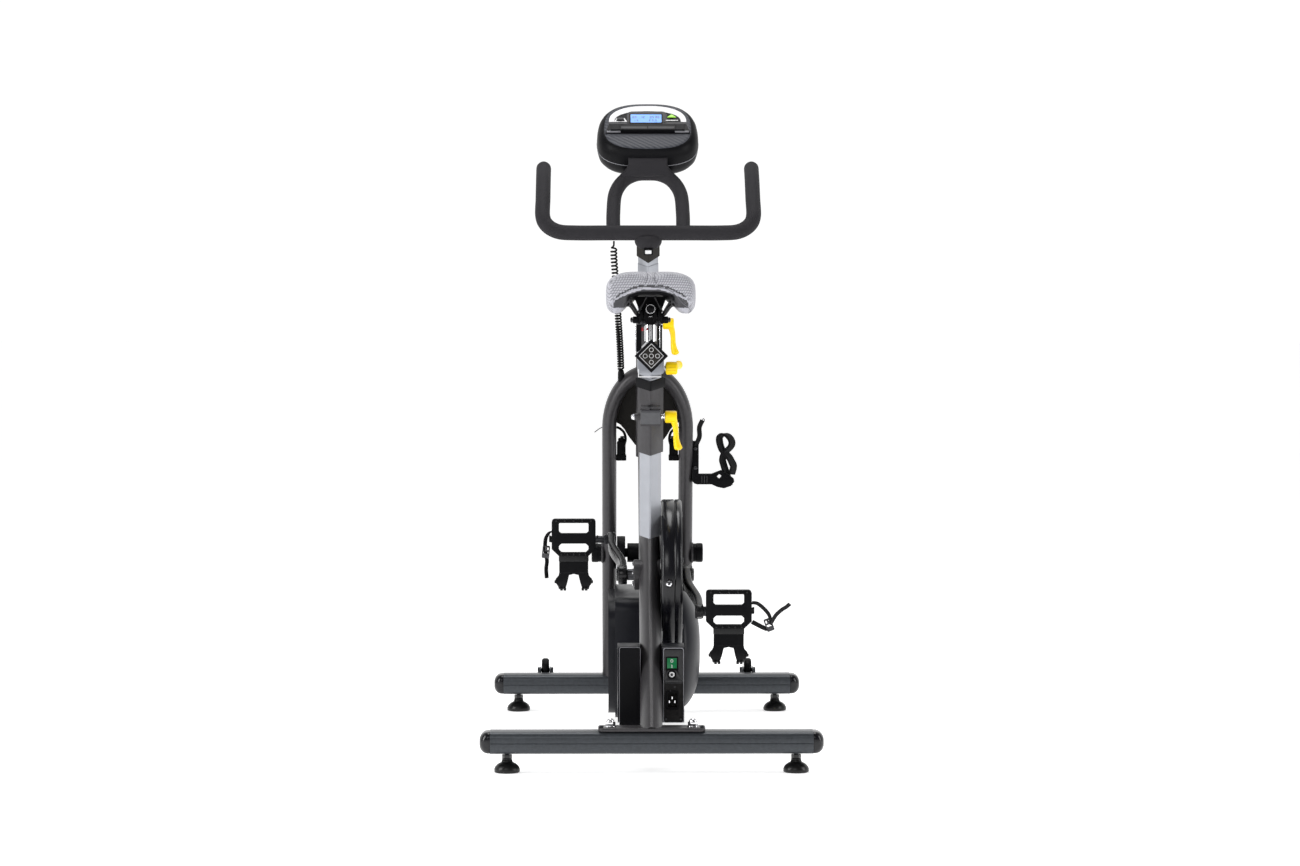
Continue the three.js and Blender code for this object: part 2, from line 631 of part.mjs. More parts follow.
function housingHalf(side) {
  const front = inset => roundedRect(25 + inset, 385 - inset, 33 + inset, 264 - inset, 30 - inset);
  const tongue = inset => roundedRect(-330 + inset, 60, STAB_TOP + inset, 128 - inset, 6);
  const rear = inset => roundedRect(-414 + inset, -326 - inset, STAB_TOP + inset, 213 - inset, 10 - inset);
  const clear = BEAM_HALF_WIDTH + 0.8;
  const outer = union(
    slabX(front(0), 0.4, 64), slabX(tongue(0), 0.4, 60), slabX(rear(0), clear, 60),
    slabX(roundedRect(-350, -300, STAB_TOP, 128, 6), clear, 60));
  const inner = union(
    slabX(front(WALL), -1, 64 - WALL), slabX(tongue(WALL), -1, 60 - WALL), slabX(rear(WALL), 10, 60 - WALL),
    slabX(roundedRect(-345, -300, STAB_TOP + WALL, 128 - WALL, 4), 10, 60 - WALL));
  const boss = rodX(14, 60, side > 0 ? 90 : 72, ROTOR_Y, ROTOR_Z, 16);
  const bulge = side > 0
    ? new THREE.CylinderGeometry(92, 114, 36, 28).rotateZ(-Math.PI / 2).translate(82, ROTOR_Y, ROTOR_Z)
    : slabX(roundedRect(32, 378, 38, 258, 60), 60, 77);
  const beltSlot = slabX(
    beltOutline(ROTOR_Y, ROTOR_Z, ROTOR_PULLEY + 6, SHAFT_Y, SHAFT_Z, STAGE_PULLEY + 8), -12, 12, 4);
  const bore = rodX(9, -5, side > 0 ? 87 : 70, ROTOR_Y, ROTOR_Z, 16);
  const closed = union(cut(outer, inner), bulge, boss);
  return { closed, beltSlot, bore };
}

function makeHousing() {
  const left = housingHalf(-1);
  addPart('lower_housing_left', mirrorX(cut(left.closed, left.beltSlot, left.bore)), BLACK_PLASTIC);
  const right = housingHalf(1);
  const opening = box(24, 57, -430, -405, 80, 208);
  const guardRoom = slabX(guardOutline(1), GUARD_X[0] - 1, GUARD_X[1] + 1, 8);
  const rightShell = cut(right.closed, right.beltSlot, right.bore, opening, guardRoom);
  addPart('lower_housing_right', rightShell, BLACK_PLASTIC);

  const plate = slabY(roundedRect(22, 59, 77, 211, 5), -418.5, -414.3, 3);
  const panel = cut(
    plate, box(28.5, 46.5, -430, -400, 173.5, 193.5), rodY(5.6, -430, -400, 37.5, 163.5, 16),
    box(30, 46, -430, -400, 104, 131));
  const inletTray = cut(box(28, 48, -416, -398, 102, 133), box(30, 46, -430, -401, 104, 131));
  addPart('switch_panel', union(panel, inletTray), BLACK_PLASTIC);

  const rocker = box(-8.6, 8.6, -5.5, 7, -9.2, 9.2).rotateX(THREE.MathUtils.degToRad(-6));
  addPart('power_rocker', rocker, GREEN).position.set(37.5, -416, 183.5);
  addPart('breaker_button', rodY(5, -422, -408, 37.5, 163.5, 16), WHITE);
}

// ---------------------------------------------------------------- seat

// A clamp lever: hub along X at its screw, and a tapered arm that leans outwards.
function clampLever(armAngle, pinLength) {
  const hub = rodX(LEVER_HUB, 0, 2 * LEVER_HUB, 0, 0, 18);
  const arm = new THREE.CylinderGeometry(5.5, 7.5, LEVER_ARM, 10).translate(0, LEVER_ARM / 2, 0);
  arm.rotateZ(-LEVER_SPLAY).rotateX(THREE.MathUtils.degToRad(armAngle)).translate(14, 0, 0);
  const pin = rodX(4.5, -pinLength, 4, 0, 0, 12);
  return union(hub, arm, pin);
}

function addLever(name, place, armAngle, pinLength) {
  addPart(name, clampLever(armAngle, pinLength), YELLOW).position.set(...place);
}

function makeSeat() {
  const post = leaned(diamondTube(SEAT_POST, SEAT_POST - 3.5, -228, 81.7), SEAT_Y, SEAT_Z, SEAT_LEAN);
  addPart('seat_post', post, SILVER);

  const neck = leaned(diamondTube(SEAT_POST, 0, 82, 104), SEAT_Y, SEAT_Z, SEAT_LEAN);
  const saddleBlock = slabY(roundedRect(-24, 24, 703, 732, 5), CRADLE_Y - 36, CRADLE_Y + 36, 3);
  const slot = slabY(diamond(SLIDER_HALF + 0.6), -700, 0, 1).translate(0, 0, SLIDER_Z);
  const below = leaned(box(-60, 60, -90, 90, 20, 82), SEAT_Y, SEAT_Z, SEAT_LEAN);
  addPart('seat_cradle', cut(union(saddleBlock, neck), slot, below), SILVER);

  const sliderShape = diamond(SLIDER_HALF);
  sliderShape.holes.push(new THREE.Path(diamond(SLIDER_HALF - 4).getPoints()));
  addPart('seat_slider', slabY(sliderShape, SLIDER_REAR, SLIDER_FRONT, 1).translate(0, 0, SLIDER_Z), SILVER);
  const endPlate = slabY(diamond(28.4, 4), SLIDER_REAR - 6.3, SLIDER_REAR - GAP, 1);
  addPart('slider_end_cap', endPlate.translate(0, 0, SLIDER_Z), BLACK_PLASTIC);

  const stubY = -300;
  const stub = rodZ(11, 742, 808, 0, stubY, 18);
  const clampBar = rodX(12, -31, 31, stubY, 819, 18);
  const clampHead = box(-17, 17, stubY - 13, stubY + 13, 803, 832);
  const rails = [-1, 1].map(side => tube([
    [side * 40, SADDLE_Y - 98, 825], [side * 34, SADDLE_Y - 80, 821], [side * 23, SADDLE_Y - 50, 819.5],
    [side * 22, SADDLE_Y, 819], [side * 18, SADDLE_Y + 45, 822], [side * 10, SADDLE_Y + 92, 832],
  ], 3.8, 10, 6));
  const envelope = slabY(diamond(SLIDER_HALF + GAP * 1.5), -700, 0, 1).translate(0, 0, SLIDER_Z);
  addPart('saddle_clamp', cut(union(stub, clampBar, clampHead, ...rails), envelope), CHROME);

  addPart('saddle_shell', saddleBase(12, -9, -4.5), BLACK_PLASTIC);
  addPart('saddle_cushion', saddleCushion(), SADDLE_VINYL);

  const leverY = SEAT_Y - 17 * Math.cos(SEAT_LEAN) - 9 * Math.sin(SEAT_LEAN);
  const leverZ = SEAT_Z - 17 * Math.sin(SEAT_LEAN) + 9 * Math.cos(SEAT_LEAN);
  addLever('seat_height_lever', [26, leverY, leverZ], -90, 6.9);
  addLever('seat_slide_lever', [27, CRADLE_Y - 12, 713], 4, 2.2);
}

// Saddle section from nose (t = 0) to tail (t = 1). The wings drop beside the middle and lift at the tail.
function saddleStation(t) {
  const { smoothstep } = THREE.MathUtils;
  const tail = smoothstep(t, 0.3, 0.8);
  const nose = Math.sqrt(Math.max(0, 1 - (1 - Math.min(t / 0.12, 1)) ** 2));
  const rounding = Math.sqrt(Math.max(0, 1 - Math.max(0, (t - 0.9) / 0.1) ** 2));
  return {
    half: (25 + 58.5 * tail) * (0.35 + 0.65 * nose) * (0.8 + 0.2 * rounding),
    crown: 873 + 17 * tail - 6 * (1 - nose) - 7 * (1 - rounding),
    middle: 846 + 7 * tail,
    wing: 3 + 35 * smoothstep(t, 0.45, 0.75) - 17 * smoothstep(t, 0.85, 1),
    notch: 9 * smoothstep(t, 0.5, 1),
  };
}

function saddleHeights(station, x) {
  const share = Math.abs(x) / station.half;
  return {
    top: station.crown - 12 * share ** 3 - station.notch * Math.exp(-((x / 10) ** 2)),
    under: station.middle - 2 * share ** 2 - station.wing * THREE.MathUtils.smoothstep(share, 0.3, 0.8),
  };
}

function saddleRings(inset, stations, ring) {
  const rings = [];
  for (let i = 0; i <= stations; i += 1) {
    const t = i / stations;
    const station = saddleStation(Math.min(Math.max(t, 0.02), 0.98));
    const y = SADDLE_Y + (132.5 - inset) * (1 - 2 * t);
    rings.push(ring(station).map(([x, z]) => new THREE.Vector3(x, y, z)));
  }
  return loft(rings);
}

// The padded body: a rounded section whose crown has a shallow notch between two lobes.
function saddleCushion() {
  const around = 32;
  const squareness = 0.6;
  const rounded = value => Math.sign(value) * Math.abs(value) ** squareness;
  return saddleRings(0, 14, station => {
    const points = [];
    for (let k = 0; k < around; k += 1) {
      const angle = Math.PI * 2 * (k + 0.5) / around;
      const x = station.half * rounded(Math.cos(angle));
      const { top, under } = saddleHeights(station, x);
      points.push([x, (top + under) / 2 + (top - under) / 2 * rounded(Math.sin(angle))]);
    }
    return points;
  });
}

// The stiff base hugs the underside between two depths below it.
function saddleBase(inset, low, high) {
  const across = 13;
  return saddleRings(inset, 16, station => {
    const upper = [];
    const lower = [];
    for (let k = 0; k < across; k += 1) {
      const x = (station.half - inset) * Math.sin((2 * k / (across - 1) - 1) * Math.PI / 2);
      const { under } = saddleHeights(station, x);
      upper.push([x, under + high]);
      lower.push([x, under + low]);
    }
    return [...upper, ...lower.reverse()];
  });
}

// ---------------------------------------------------------------- handlebar and console

function handlebarTube() {
  const side = 203;
  const crossbar = [
    [-side, BAR_Y + 150, 1083], [-side, BAR_Y + 118, 1066], [-side, BAR_Y + 60, 1024],
    [-side + 2, BAR_Y + 16, 984], [-side + 26, BAR_Y + 2, 961], [-side + 60, BAR_Y, BAR_Z],
    [-70, BAR_Y, BAR_Z], [0, BAR_Y, BAR_Z], [70, BAR_Y, BAR_Z],
    [side - 60, BAR_Y, BAR_Z], [side - 26, BAR_Y + 2, 961], [side - 2, BAR_Y + 16, 984],
    [side, BAR_Y + 60, 1024], [side, BAR_Y + 118, 1066], [side, BAR_Y + 150, 1083],
  ];
  const loop = [
    [-67, BAR_Y, BAR_Z], [-67, BAR_Y + 30, 990], [-65, BAR_Y + 66, 1028], [-48, BAR_Y + 92, 1058],
    [-22, BAR_Y + 103, 1071], [0, BAR_Y + 105, 1073],
    [22, BAR_Y + 103, 1071], [48, BAR_Y + 92, 1058], [65, BAR_Y + 66, 1028], [67, BAR_Y + 30, 990],
    [67, BAR_Y, BAR_Z],
  ];
  const tip = x => new THREE.SphereGeometry(BAR_RADIUS, 10, 6).translate(x, BAR_Y + 150, 1083);
  const neck = slabY(roundedRect(-38, 38, 1062, 1098, 8), BAR_Y + 92, BAR_Y + 122, 3);
  const bars = [tube(crossbar, BAR_RADIUS, 28, 10), tube(loop, BAR_RADIUS - 1, 16, 10)];
  return union(...bars, tip(-side), tip(side), neck);
}

function makeHandlebar() {
  const head = leaningGroup(HEAD_Y, HEAD_Z, HEAD_LEAN);
  addPart('handlebar_post', diamondTube(BAR_POST, BAR_POST - 3.5, -90, 223), SILVER, head);

  const leverY = HEAD_Y - 92 * Math.sin(HEAD_LEAN);
  const leverZ = HEAD_Z + 98 * Math.cos(HEAD_LEAN);
  addLever('handlebar_lever', [28.5, leverY, leverZ], -90, 2);

  const barTube = handlebarTube();
  const sleeve = leaned(diamondTube(HEAD_OUTER, 0, 223.4, 258), HEAD_Y, HEAD_Z, HEAD_LEAN);
  const dome = new THREE.CylinderGeometry(26.5, 22, 24, 20).rotateX(Math.PI / 2).translate(0, 0, 268);
  const bulge = leaned(dome, HEAD_Y, HEAD_Z, HEAD_LEAN);
  const barRoom = rodX(BAR_RADIUS + GAP, -60, 60, BAR_Y, BAR_Z, 20);
  const above = box(-60, 60, 0, 300, BAR_Z, 1200);
  addPart('handlebar_hub', cut(union(sleeve, bulge), barRoom, above), BLACK_PLASTIC);

  const half = CONSOLE_HALF_THICKNESS;
  const consoleRoom = extrude(consoleOutline(-3), 2 * half + 1, 4).translate(0, 0, -half - GAP);
  addPart('handlebar', cut(barTube, leaned(consoleRoom, CONSOLE_Y, CONSOLE_Z, CONSOLE_TILT)), RUBBER);

  const cordPath = [
    [-66, BAR_Y + 3, BAR_Z - 16], [-66, BAR_Y + 12, 915], [-63, 172, 870], [-58, 200, 800],
    [-54, 224, 735], [-52, 241, 684],
  ];
  addPart('coiled_cord', tube(cordPath, CORD_COIL_RADIUS, 12, 8), RUBBER);
}

// Console outline, a little narrower at the top than at the bottom.
function consoleOutline(shrink) {
  const shape = new THREE.Shape();
  const right = 97 - shrink;
  const top = 74 - shrink;
  const radius = 42 - shrink;
  const taper = 8;
  shape.moveTo(right, -top + radius);
  shape.lineTo(right - taper, top - radius);
  shape.absarc(right - taper - radius, top - radius, radius, 0, Math.PI / 2);
  shape.absarc(-right + taper + radius, top - radius, radius, Math.PI / 2, Math.PI);
  shape.lineTo(-right, -top + radius);
  shape.absarc(-right + radius, -top + radius, radius, Math.PI, Math.PI * 1.5);
  shape.absarc(right - radius, -top + radius, radius, Math.PI * 1.5, Math.PI * 2);
  return shape;
}

// A round key on the console face: a cylinder stretched sideways.
function consoleKey(radius, stretch, height, [x, y], z) {
  return new THREE.CylinderGeometry(radius, radius, height, 20)
    .scale(stretch, 1, 1)
    .rotateX(Math.PI / 2)
    .translate(x, y, z);
}

function makeConsole() {
  const panel = leaningGroup(CONSOLE_Y, CONSOLE_Z, CONSOLE_TILT);
  const half = CONSOLE_HALF_THICKNESS;
  const shellHalf = (z0, z1, roundAt) => {
    const settings = {
      depth: (z1 - z0) - 8, bevelThickness: 8, bevelSize: 6, bevelSegments: 2, curveSegments: 3,
    };
    const isTop = roundAt === 'top';
    const start = isTop ? z0 : z0 + 8;
    const blank = new THREE.ExtrudeGeometry(consoleOutline(4), settings).translate(0, 0, start);
    const trim = isTop ? box(-200, 200, -200, 200, -100, z0) : box(-200, 200, -200, 200, z1, 100);
    const hollow = isTop ? [-60, z1 - 4] : [z0 + 4, 60];
    const room = extrude(consoleOutline(8), hollow[1] - hollow[0], 3).translate(0, 0, hollow[0]);
    return cut(blank, trim, room);
  };
  addPart('console_rear_shell', shellHalf(-half, 2, 'bottom'), BLACK_PLASTIC, panel);

  const windowHole = roundedRect(-34.5, 28.5, 8.5, 36.5, 2);
  const shelf = slabX(roundedRect(-17, -6, 26, 37, 3), -74, 74, 2);
  const front = cut(
    union(shellHalf(2.5, half, 'top'), shelf),
    extrude(windowHole, 60, 2),
    consoleKey(MENU_KEY + 0.5, 2.4, 60, MENU_AT, 20),
    consoleKey(START_KEY + 0.5, 1.5, 60, START_AT, 20));
  addPart('console_front_shell', front, BLACK_PLASTIC, panel);
  const display = extrude(roundedRect(-34, 28, 9, 36, 1.6), 5, 2).translate(0, 0, half - 6);
  addPart('display_window', display, SCREEN, panel);
  addPart('menu_button', consoleKey(MENU_KEY, 2.4, 9, MENU_AT, half - 3), BLACK_PLASTIC, panel);
  addPart('start_button', consoleKey(START_KEY, 1.5, 9, START_AT, half - 3), GREEN, panel);
}

// ---------------------------------------------------------------- bottle holder

function makeBottleHolder() {
  const y = HEAD_Y - (510 - HEAD_Z) * Math.tan(HEAD_LEAN);
  const bar = union(
    box(89.6, 100, y - 11, y + 11, 470, 550),
    box(95, 126, y - 11, y + 11, 466, 484));
  addPart('bottle_bracket', bar, BLACK_PLASTIC);
  const ring = new THREE.Shape();
  ring.absellipse(148, 516, 21, 47, 0, Math.PI * 2);
  const hole = new THREE.Path();
  hole.absellipse(148, 516, 18, 44, 0, Math.PI * 2);
  ring.holes.push(hole);
  addPart('bottle_strap', slabY(ring, y - 10, y + 10, 6), WEBBING);
}

makeBase();
makeFrame();
makeDrive();
makeBeltGuard();
makeHousing();
makeSeat();
makeHandlebar();
makeConsole();
makeBottleHolder();

export default bike;
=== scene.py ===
"""Looks of the exercise bike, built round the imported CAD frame. Shapes are drawn in millimetres."""

import json
import math

import bmesh
import bpy
from mathutils import Matrix, Vector
from mathutils.bvhtree import BVHTree


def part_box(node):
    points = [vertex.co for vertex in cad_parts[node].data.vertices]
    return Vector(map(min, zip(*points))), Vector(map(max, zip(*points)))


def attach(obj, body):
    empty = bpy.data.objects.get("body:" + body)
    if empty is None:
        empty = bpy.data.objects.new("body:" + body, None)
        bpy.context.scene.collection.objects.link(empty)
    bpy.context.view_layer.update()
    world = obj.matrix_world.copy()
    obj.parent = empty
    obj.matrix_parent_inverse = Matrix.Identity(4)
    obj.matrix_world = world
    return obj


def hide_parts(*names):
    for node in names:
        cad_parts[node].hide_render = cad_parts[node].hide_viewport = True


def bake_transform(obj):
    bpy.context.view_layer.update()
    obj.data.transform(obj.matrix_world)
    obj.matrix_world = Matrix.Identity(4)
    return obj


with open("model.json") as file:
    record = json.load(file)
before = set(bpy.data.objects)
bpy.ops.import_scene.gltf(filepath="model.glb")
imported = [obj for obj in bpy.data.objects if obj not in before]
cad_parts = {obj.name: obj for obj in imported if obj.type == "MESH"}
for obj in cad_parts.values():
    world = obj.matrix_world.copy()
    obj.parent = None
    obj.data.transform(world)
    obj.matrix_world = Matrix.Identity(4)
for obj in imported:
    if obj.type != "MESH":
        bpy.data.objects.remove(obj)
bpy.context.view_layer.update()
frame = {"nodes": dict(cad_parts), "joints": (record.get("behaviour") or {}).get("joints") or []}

MM = 0.001
JOINTS = {joint["name"]: joint for joint in frame["joints"]}
SEAT_AXIS = Vector(JOINTS["seat_height"]["axis"])
HEAD_AXIS = Vector(JOINTS["handlebar_height"]["axis"])
CONSOLE_NORMAL = -Vector(JOINTS["menu_press"]["axis"])


# ---------------------------------------------------------------- camera, light and floor

CAMERA_PLACE = Vector((-75.4, -8217.5, 960.0))
CAMERA_DOWN = 2.65
CAMERA_RIGHT = 0.54
CAMERA_LENS = 120.35


def make_camera():
    data = bpy.data.cameras.new("photo_camera")
    data.sensor_width = 36
    data.lens = CAMERA_LENS
    data.clip_end = 100
    camera = bpy.data.objects.new("photo_camera", data)
    camera.location = CAMERA_PLACE * MM
    camera.rotation_euler = (math.radians(90 - CAMERA_DOWN), 0, math.radians(-CAMERA_RIGHT))
    bpy.context.scene.collection.objects.link(camera)
    bpy.context.scene.camera = camera


def area_light(name, place, target, size, power):
    data = bpy.data.lights.new(name, "AREA")
    data.shape = "RECTANGLE"
    data.size, data.size_y = size
    data.energy = power
    light = bpy.data.objects.new(name, data)
    light.location = place
    light.rotation_euler = (Vector(target) - Vector(place)).to_track_quat("-Z", "Y").to_euler()
    bpy.context.scene.collection.objects.link(light)


def make_world():
    """Soft white surroundings, dimmer on the side that the rider faces away from and overhead."""
    world = bpy.data.worlds.new("studio")
    world.use_nodes = True
    nodes, links = world.node_tree.nodes, world.node_tree.links
    background = nodes["Background"]
    background.inputs["Color"].default_value = (1, 1, 1, 1)
    place = nodes.new("ShaderNodeTexCoord")
    split = nodes.new("ShaderNodeSeparateXYZ")
    links.new(place.outputs["Generated"], split.inputs["Vector"])
    fade = nodes.new("ShaderNodeMapRange")
    fade.interpolation_type = "SMOOTHSTEP"
    fade.inputs["From Min"].default_value = -0.15
    fade.inputs["From Max"].default_value = 0.75
    fade.inputs["To Min"].default_value = 0.10
    fade.inputs["To Max"].default_value = 1.05
    links.new(split.outputs["Y"], fade.inputs["Value"])
    links.new(fade.outputs["Result"], background.inputs["Strength"])
    bpy.context.scene.world = world


def make_studio():
    make_world()
    bpy.context.scene.view_settings.view_transform = "Standard"
    middle = (0, 0, 0.6)
    area_light("left_softbox", (-3.0, -1.6, 1.5), middle, (0.9, 2.4), 70)
    area_light("right_softbox", (3.0, -1.2, 1.3), middle, (0.7, 2.2), 40)
    area_light("front_fill", (-0.8, -4.5, 2.4), middle, (1.4, 1.4), 26)
    area_light("top", (0.0, 0.3, 3.2), middle, (1.6, 1.6), 42)

    mesh = bpy.data.meshes.new("floor")
    reach = 30
    mesh.from_pydata([(-reach, -reach, 0), (reach, -reach, 0), (reach, reach, 0), (-reach, reach, 0)],
                     [], [(0, 1, 2, 3)])
    floor = bpy.data.objects.new("floor", mesh)
    bpy.context.scene.collection.objects.link(floor)
    paint = bpy.data.materials.new("floor_white")
    paint.use_nodes = True
    shader = paint.node_tree.nodes["Principled BSDF"]
    shader.inputs["Base Color"].default_value = (0.9, 0.9, 0.9, 1)
    shader.inputs["Roughness"].default_value = 0.8
    shader.inputs["Specular IOR Level"].default_value = 0.1
    shader.inputs["Emission Color"].default_value = (1, 1, 1, 1)
    shader.inputs["Emission Strength"].default_value = 0.62
    mesh.materials.append(paint)


make_camera()
make_studio()


# ---------------------------------------------------------------- materials

def set_input(shader, name, value):
    shader.inputs[name].default_value = value


def surface(name, color, roughness, metallic=0.0, mottle=(9, 0.10), grain=(700, 0.15), rough_spread=0.08,
            sheen=0.0, shine=0.5):
    """A procedural finish: slow colour mottling, fine grain in bump and an uneven roughness."""
    finish = bpy.data.materials.new(name)
    finish.use_nodes = True
    nodes, links = finish.node_tree.nodes, finish.node_tree.links
    shader = nodes["Principled BSDF"]
    set_input(shader, "Metallic", metallic)
    set_input(shader, "Specular IOR Level", shine)
    set_input(shader, "Sheen Weight", sheen)
    place = nodes.new("ShaderNodeTexCoord")

    slow = nodes.new("ShaderNodeTexNoise")
    set_input(slow, "Scale", mottle[0])
    set_input(slow, "Detail", 4)
    links.new(place.outputs["Object"], slow.inputs["Vector"])
    ramp = nodes.new("ShaderNodeValToRGB")
    ramp.color_ramp.elements[0].position = 0.3
    ramp.color_ramp.elements[1].position = 0.7
    ramp.color_ramp.elements[0].color = [c * (1 - mottle[1]) for c in color] + [1]
    ramp.color_ramp.elements[1].color = [min(1, c * (1 + mottle[1])) for c in color] + [1]
    links.new(slow.outputs["Fac"], ramp.inputs["Fac"])
    links.new(ramp.outputs["Color"], shader.inputs["Base Color"])

    spread = nodes.new("ShaderNodeMapRange")
    set_input(spread, "To Min", max(0.02, roughness - rough_spread))
    set_input(spread, "To Max", min(1, roughness + rough_spread))
    links.new(slow.outputs["Fac"], spread.inputs["Value"])
    links.new(spread.outputs["Result"], shader.inputs["Roughness"])

    fine = nodes.new("ShaderNodeTexNoise")
    set_input(fine, "Scale", grain[0])
    set_input(fine, "Detail", 2)
    links.new(place.outputs["Object"], fine.inputs["Vector"])
    bump = nodes.new("ShaderNodeBump")
    set_input(bump, "Strength", grain[1])
    set_input(bump, "Distance", 0.0004)
    links.new(fine.outputs["Fac"], bump.inputs["Height"])
    links.new(bump.outputs["Normal"], shader.inputs["Normal"])
    return finish


def first_node(nodes, kind):
    return next(node for node in nodes if node.bl_idname == kind)


def honeycomb_vinyl(name, color, cell, depth):
    """Embossed vinyl: small cells whose borders sink in, with painted shade darkening the sunk borders."""
    finish = surface(name, color, 0.5, mottle=(14, 0.03), grain=(1500, 0.1))
    nodes, links = finish.node_tree.nodes, finish.node_tree.links
    shader = nodes["Principled BSDF"]
    place = first_node(nodes, "ShaderNodeTexCoord")
    ramp = first_node(nodes, "ShaderNodeValToRGB")
    flat = nodes.new("ShaderNodeCombineXYZ")
    for axis, slant in (("X", (1, 0.6, -0.6)), ("Y", (0, 1, 1))):
        share = nodes.new("ShaderNodeVectorMath")
        share.operation = "DOT_PRODUCT"
        share.inputs[1].default_value = slant
        links.new(place.outputs["Object"], share.inputs[0])
        links.new(share.outputs["Value"], flat.inputs[axis])
    cells = nodes.new("ShaderNodeTexVoronoi")
    cells.voronoi_dimensions = "2D"
    cells.feature = "DISTANCE_TO_EDGE"
    set_input(cells, "Scale", cell)
    set_input(cells, "Randomness", 0.1)
    links.new(flat.outputs["Vector"], cells.inputs["Vector"])
    edge = nodes.new("ShaderNodeMapRange")
    set_input(edge, "From Max", 0.26)
    links.new(cells.outputs["Distance"], edge.inputs["Value"])
    # Painted shade: the sunk cell borders are darkened to a third of the vinyl's colour.
    mix = nodes.new("ShaderNodeMix")
    mix.data_type = "RGBA"
    mix.inputs["A"].default_value = [c * 0.34 for c in color] + [1]
    links.new(edge.outputs["Result"], mix.inputs["Factor"])
    links.new(ramp.outputs["Color"], mix.inputs["B"])
    links.new(mix.outputs["Result"], shader.inputs["Base Color"])
    bump = first_node(nodes, "ShaderNodeBump")
    set_input(bump, "Strength", 0.6)
    set_input(bump, "Distance", depth)
    links.new(edge.outputs["Result"], bump.inputs["Height"])
    return finish


def ribbed(name, color, roughness, direction, pitch, depth, **options):
    """A finish with fine parallel ribs, as in webbing, thread or a toothed edge."""
    finish = surface(name, color, roughness, **options)
    nodes, links = finish.node_tree.nodes, finish.node_tree.links
    place = first_node(nodes, "ShaderNodeTexCoord")
    wave = nodes.new("ShaderNodeTexWave")
    wave.bands_direction = direction
    wave.wave_profile = "SIN"
    set_input(wave, "Scale", 1000 / pitch / 20 * math.pi)
    links.new(place.outputs["Object"], wave.inputs["Vector"])
    bump = first_node(nodes, "ShaderNodeBump")
    set_input(bump, "Strength", 0.7)
    set_input(bump, "Distance", depth)
    links.new(wave.outputs["Fac"], bump.inputs["Height"])
    return finish


def glowing(name, color, strength):
    finish = surface(name, color, 0.2, mottle=(30, 0.06))
    shader = finish.node_tree.nodes["Principled BSDF"]
    set_input(shader, "Emission Color", (*color, 1))
    set_input(shader, "Emission Strength", strength)
    return finish


FRAME_PAINT = surface("frame_paint", (0.046, 0.044, 0.047), 0.36, 0.25, grain=(1500, 0.12),
                      mottle=(160, 0.10), shine=0.3)
GREY_PAINT = surface("grey_paint", (0.085, 0.086, 0.092), 0.42, 0.3, grain=(1500, 0.12), mottle=(160, 0.08),
                     shine=0.3)
SLATE_PAINT = surface("slate_paint", (0.048, 0.053, 0.060), 0.34, 0.3, grain=(1500, 0.14),
                      mottle=(190, 0.12), shine=0.35)
BLACK_PLASTIC = surface("black_plastic", (0.005, 0.005, 0.006), 0.40, grain=(900, 0.2), shine=0.08)
HOUSING_PLASTIC = surface("housing_plastic", (0.009, 0.0095, 0.013), 0.36, grain=(1100, 0.2), shine=0.2)
SHIELD_PLASTIC = surface("shield_plastic", (0.017, 0.015, 0.013), 0.45, grain=(900, 0.3), shine=0.15)
GREY_PLASTIC = surface("grey_plastic", (0.052, 0.051, 0.054), 0.5, grain=(900, 0.25), shine=0.2)
GLOSS_BLACK = surface("gloss_black", (0.004, 0.004, 0.006), 0.22, grain=(300, 0.02), shine=0.42)
FOOT_RUBBER = surface("foot_rubber", (0.006, 0.006, 0.006), 0.34, grain=(800, 0.2), shine=0.35)
BAR_RUBBER = surface("bar_rubber", (0.025, 0.024, 0.027), 0.7, grain=(1300, 0.5), mottle=(25, 0.08),
                     shine=0.12)
BELT_RUBBER = ribbed("belt_rubber", (0.013, 0.013, 0.013), 0.7, "X", 2.3, 0.0008, shine=0.3)
CORD_RUBBER = surface("cord_rubber", (0.002, 0.002, 0.002), 0.40, grain=(900, 0.1), shine=0.12)
SILVER_PAINT = surface("silver_paint", (0.33, 0.34, 0.37), 0.32, 0.55, grain=(1800, 0.06), mottle=(40, 0.04))
CAST_METAL = surface("cast_metal", (0.30, 0.31, 0.34), 0.36, 0.7, grain=(500, 0.25), mottle=(20, 0.08))
CHROME = surface("chrome", (0.80, 0.80, 0.82), 0.10, 1.0, grain=(200, 0.02), mottle=(30, 0.03),
                 rough_spread=0.05)
DARK_STEEL = surface("dark_steel", (0.05, 0.05, 0.055), 0.30, 0.8, grain=(600, 0.15))
BUCKLE_STEEL = surface("buckle_steel", (0.07, 0.07, 0.075), 0.25, 0.85, grain=(600, 0.2), mottle=(90, 0.5))
CRANK_PAINT = surface("crank_paint", (0.006, 0.006, 0.007), 0.26, 0.1, grain=(900, 0.12), shine=0.35)
LEVER_YELLOW = surface("lever_yellow", (1.0, 0.68, 0.0), 0.34, mottle=(30, 0.05), grain=(900, 0.15),
                       shine=0.35)
SADDLE_VINYL = honeycomb_vinyl("saddle_vinyl", (0.50, 0.50, 0.55), 215, 0.0008)
SADDLE_BAND = surface("saddle_band", (0.46, 0.46, 0.51), 0.42, grain=(1500, 0.3))
# A dark finish for the pads under the saddle, also used as painted shade on the cushion's underside.
SADDLE_PAD_AND_SHADE = surface("saddle_pad_and_shade", (0.05, 0.05, 0.056), 0.6, grain=(700, 0.5), mottle=(60, 0.25))
SEAM_DARK = surface("seam_dark", (0.17, 0.17, 0.19), 0.7, grain=(2500, 0.5))
STITCH = surface("stitch", (0.22, 0.22, 0.25), 0.8, grain=(2500, 0.6))
WEBBING = ribbed("webbing", (0.012, 0.012, 0.013), 0.85, "DIAGONAL", 1.6, 0.0006, sheen=0.04, shine=0.1)
GREEN_PLASTIC = surface("green_plastic", (0.0, 0.15, 0.045), 0.3, mottle=(60, 0.12), shine=0.4)
KEY_GREEN = surface("key_green", (0.32, 0.72, 0.05), 0.35, mottle=(60, 0.06))
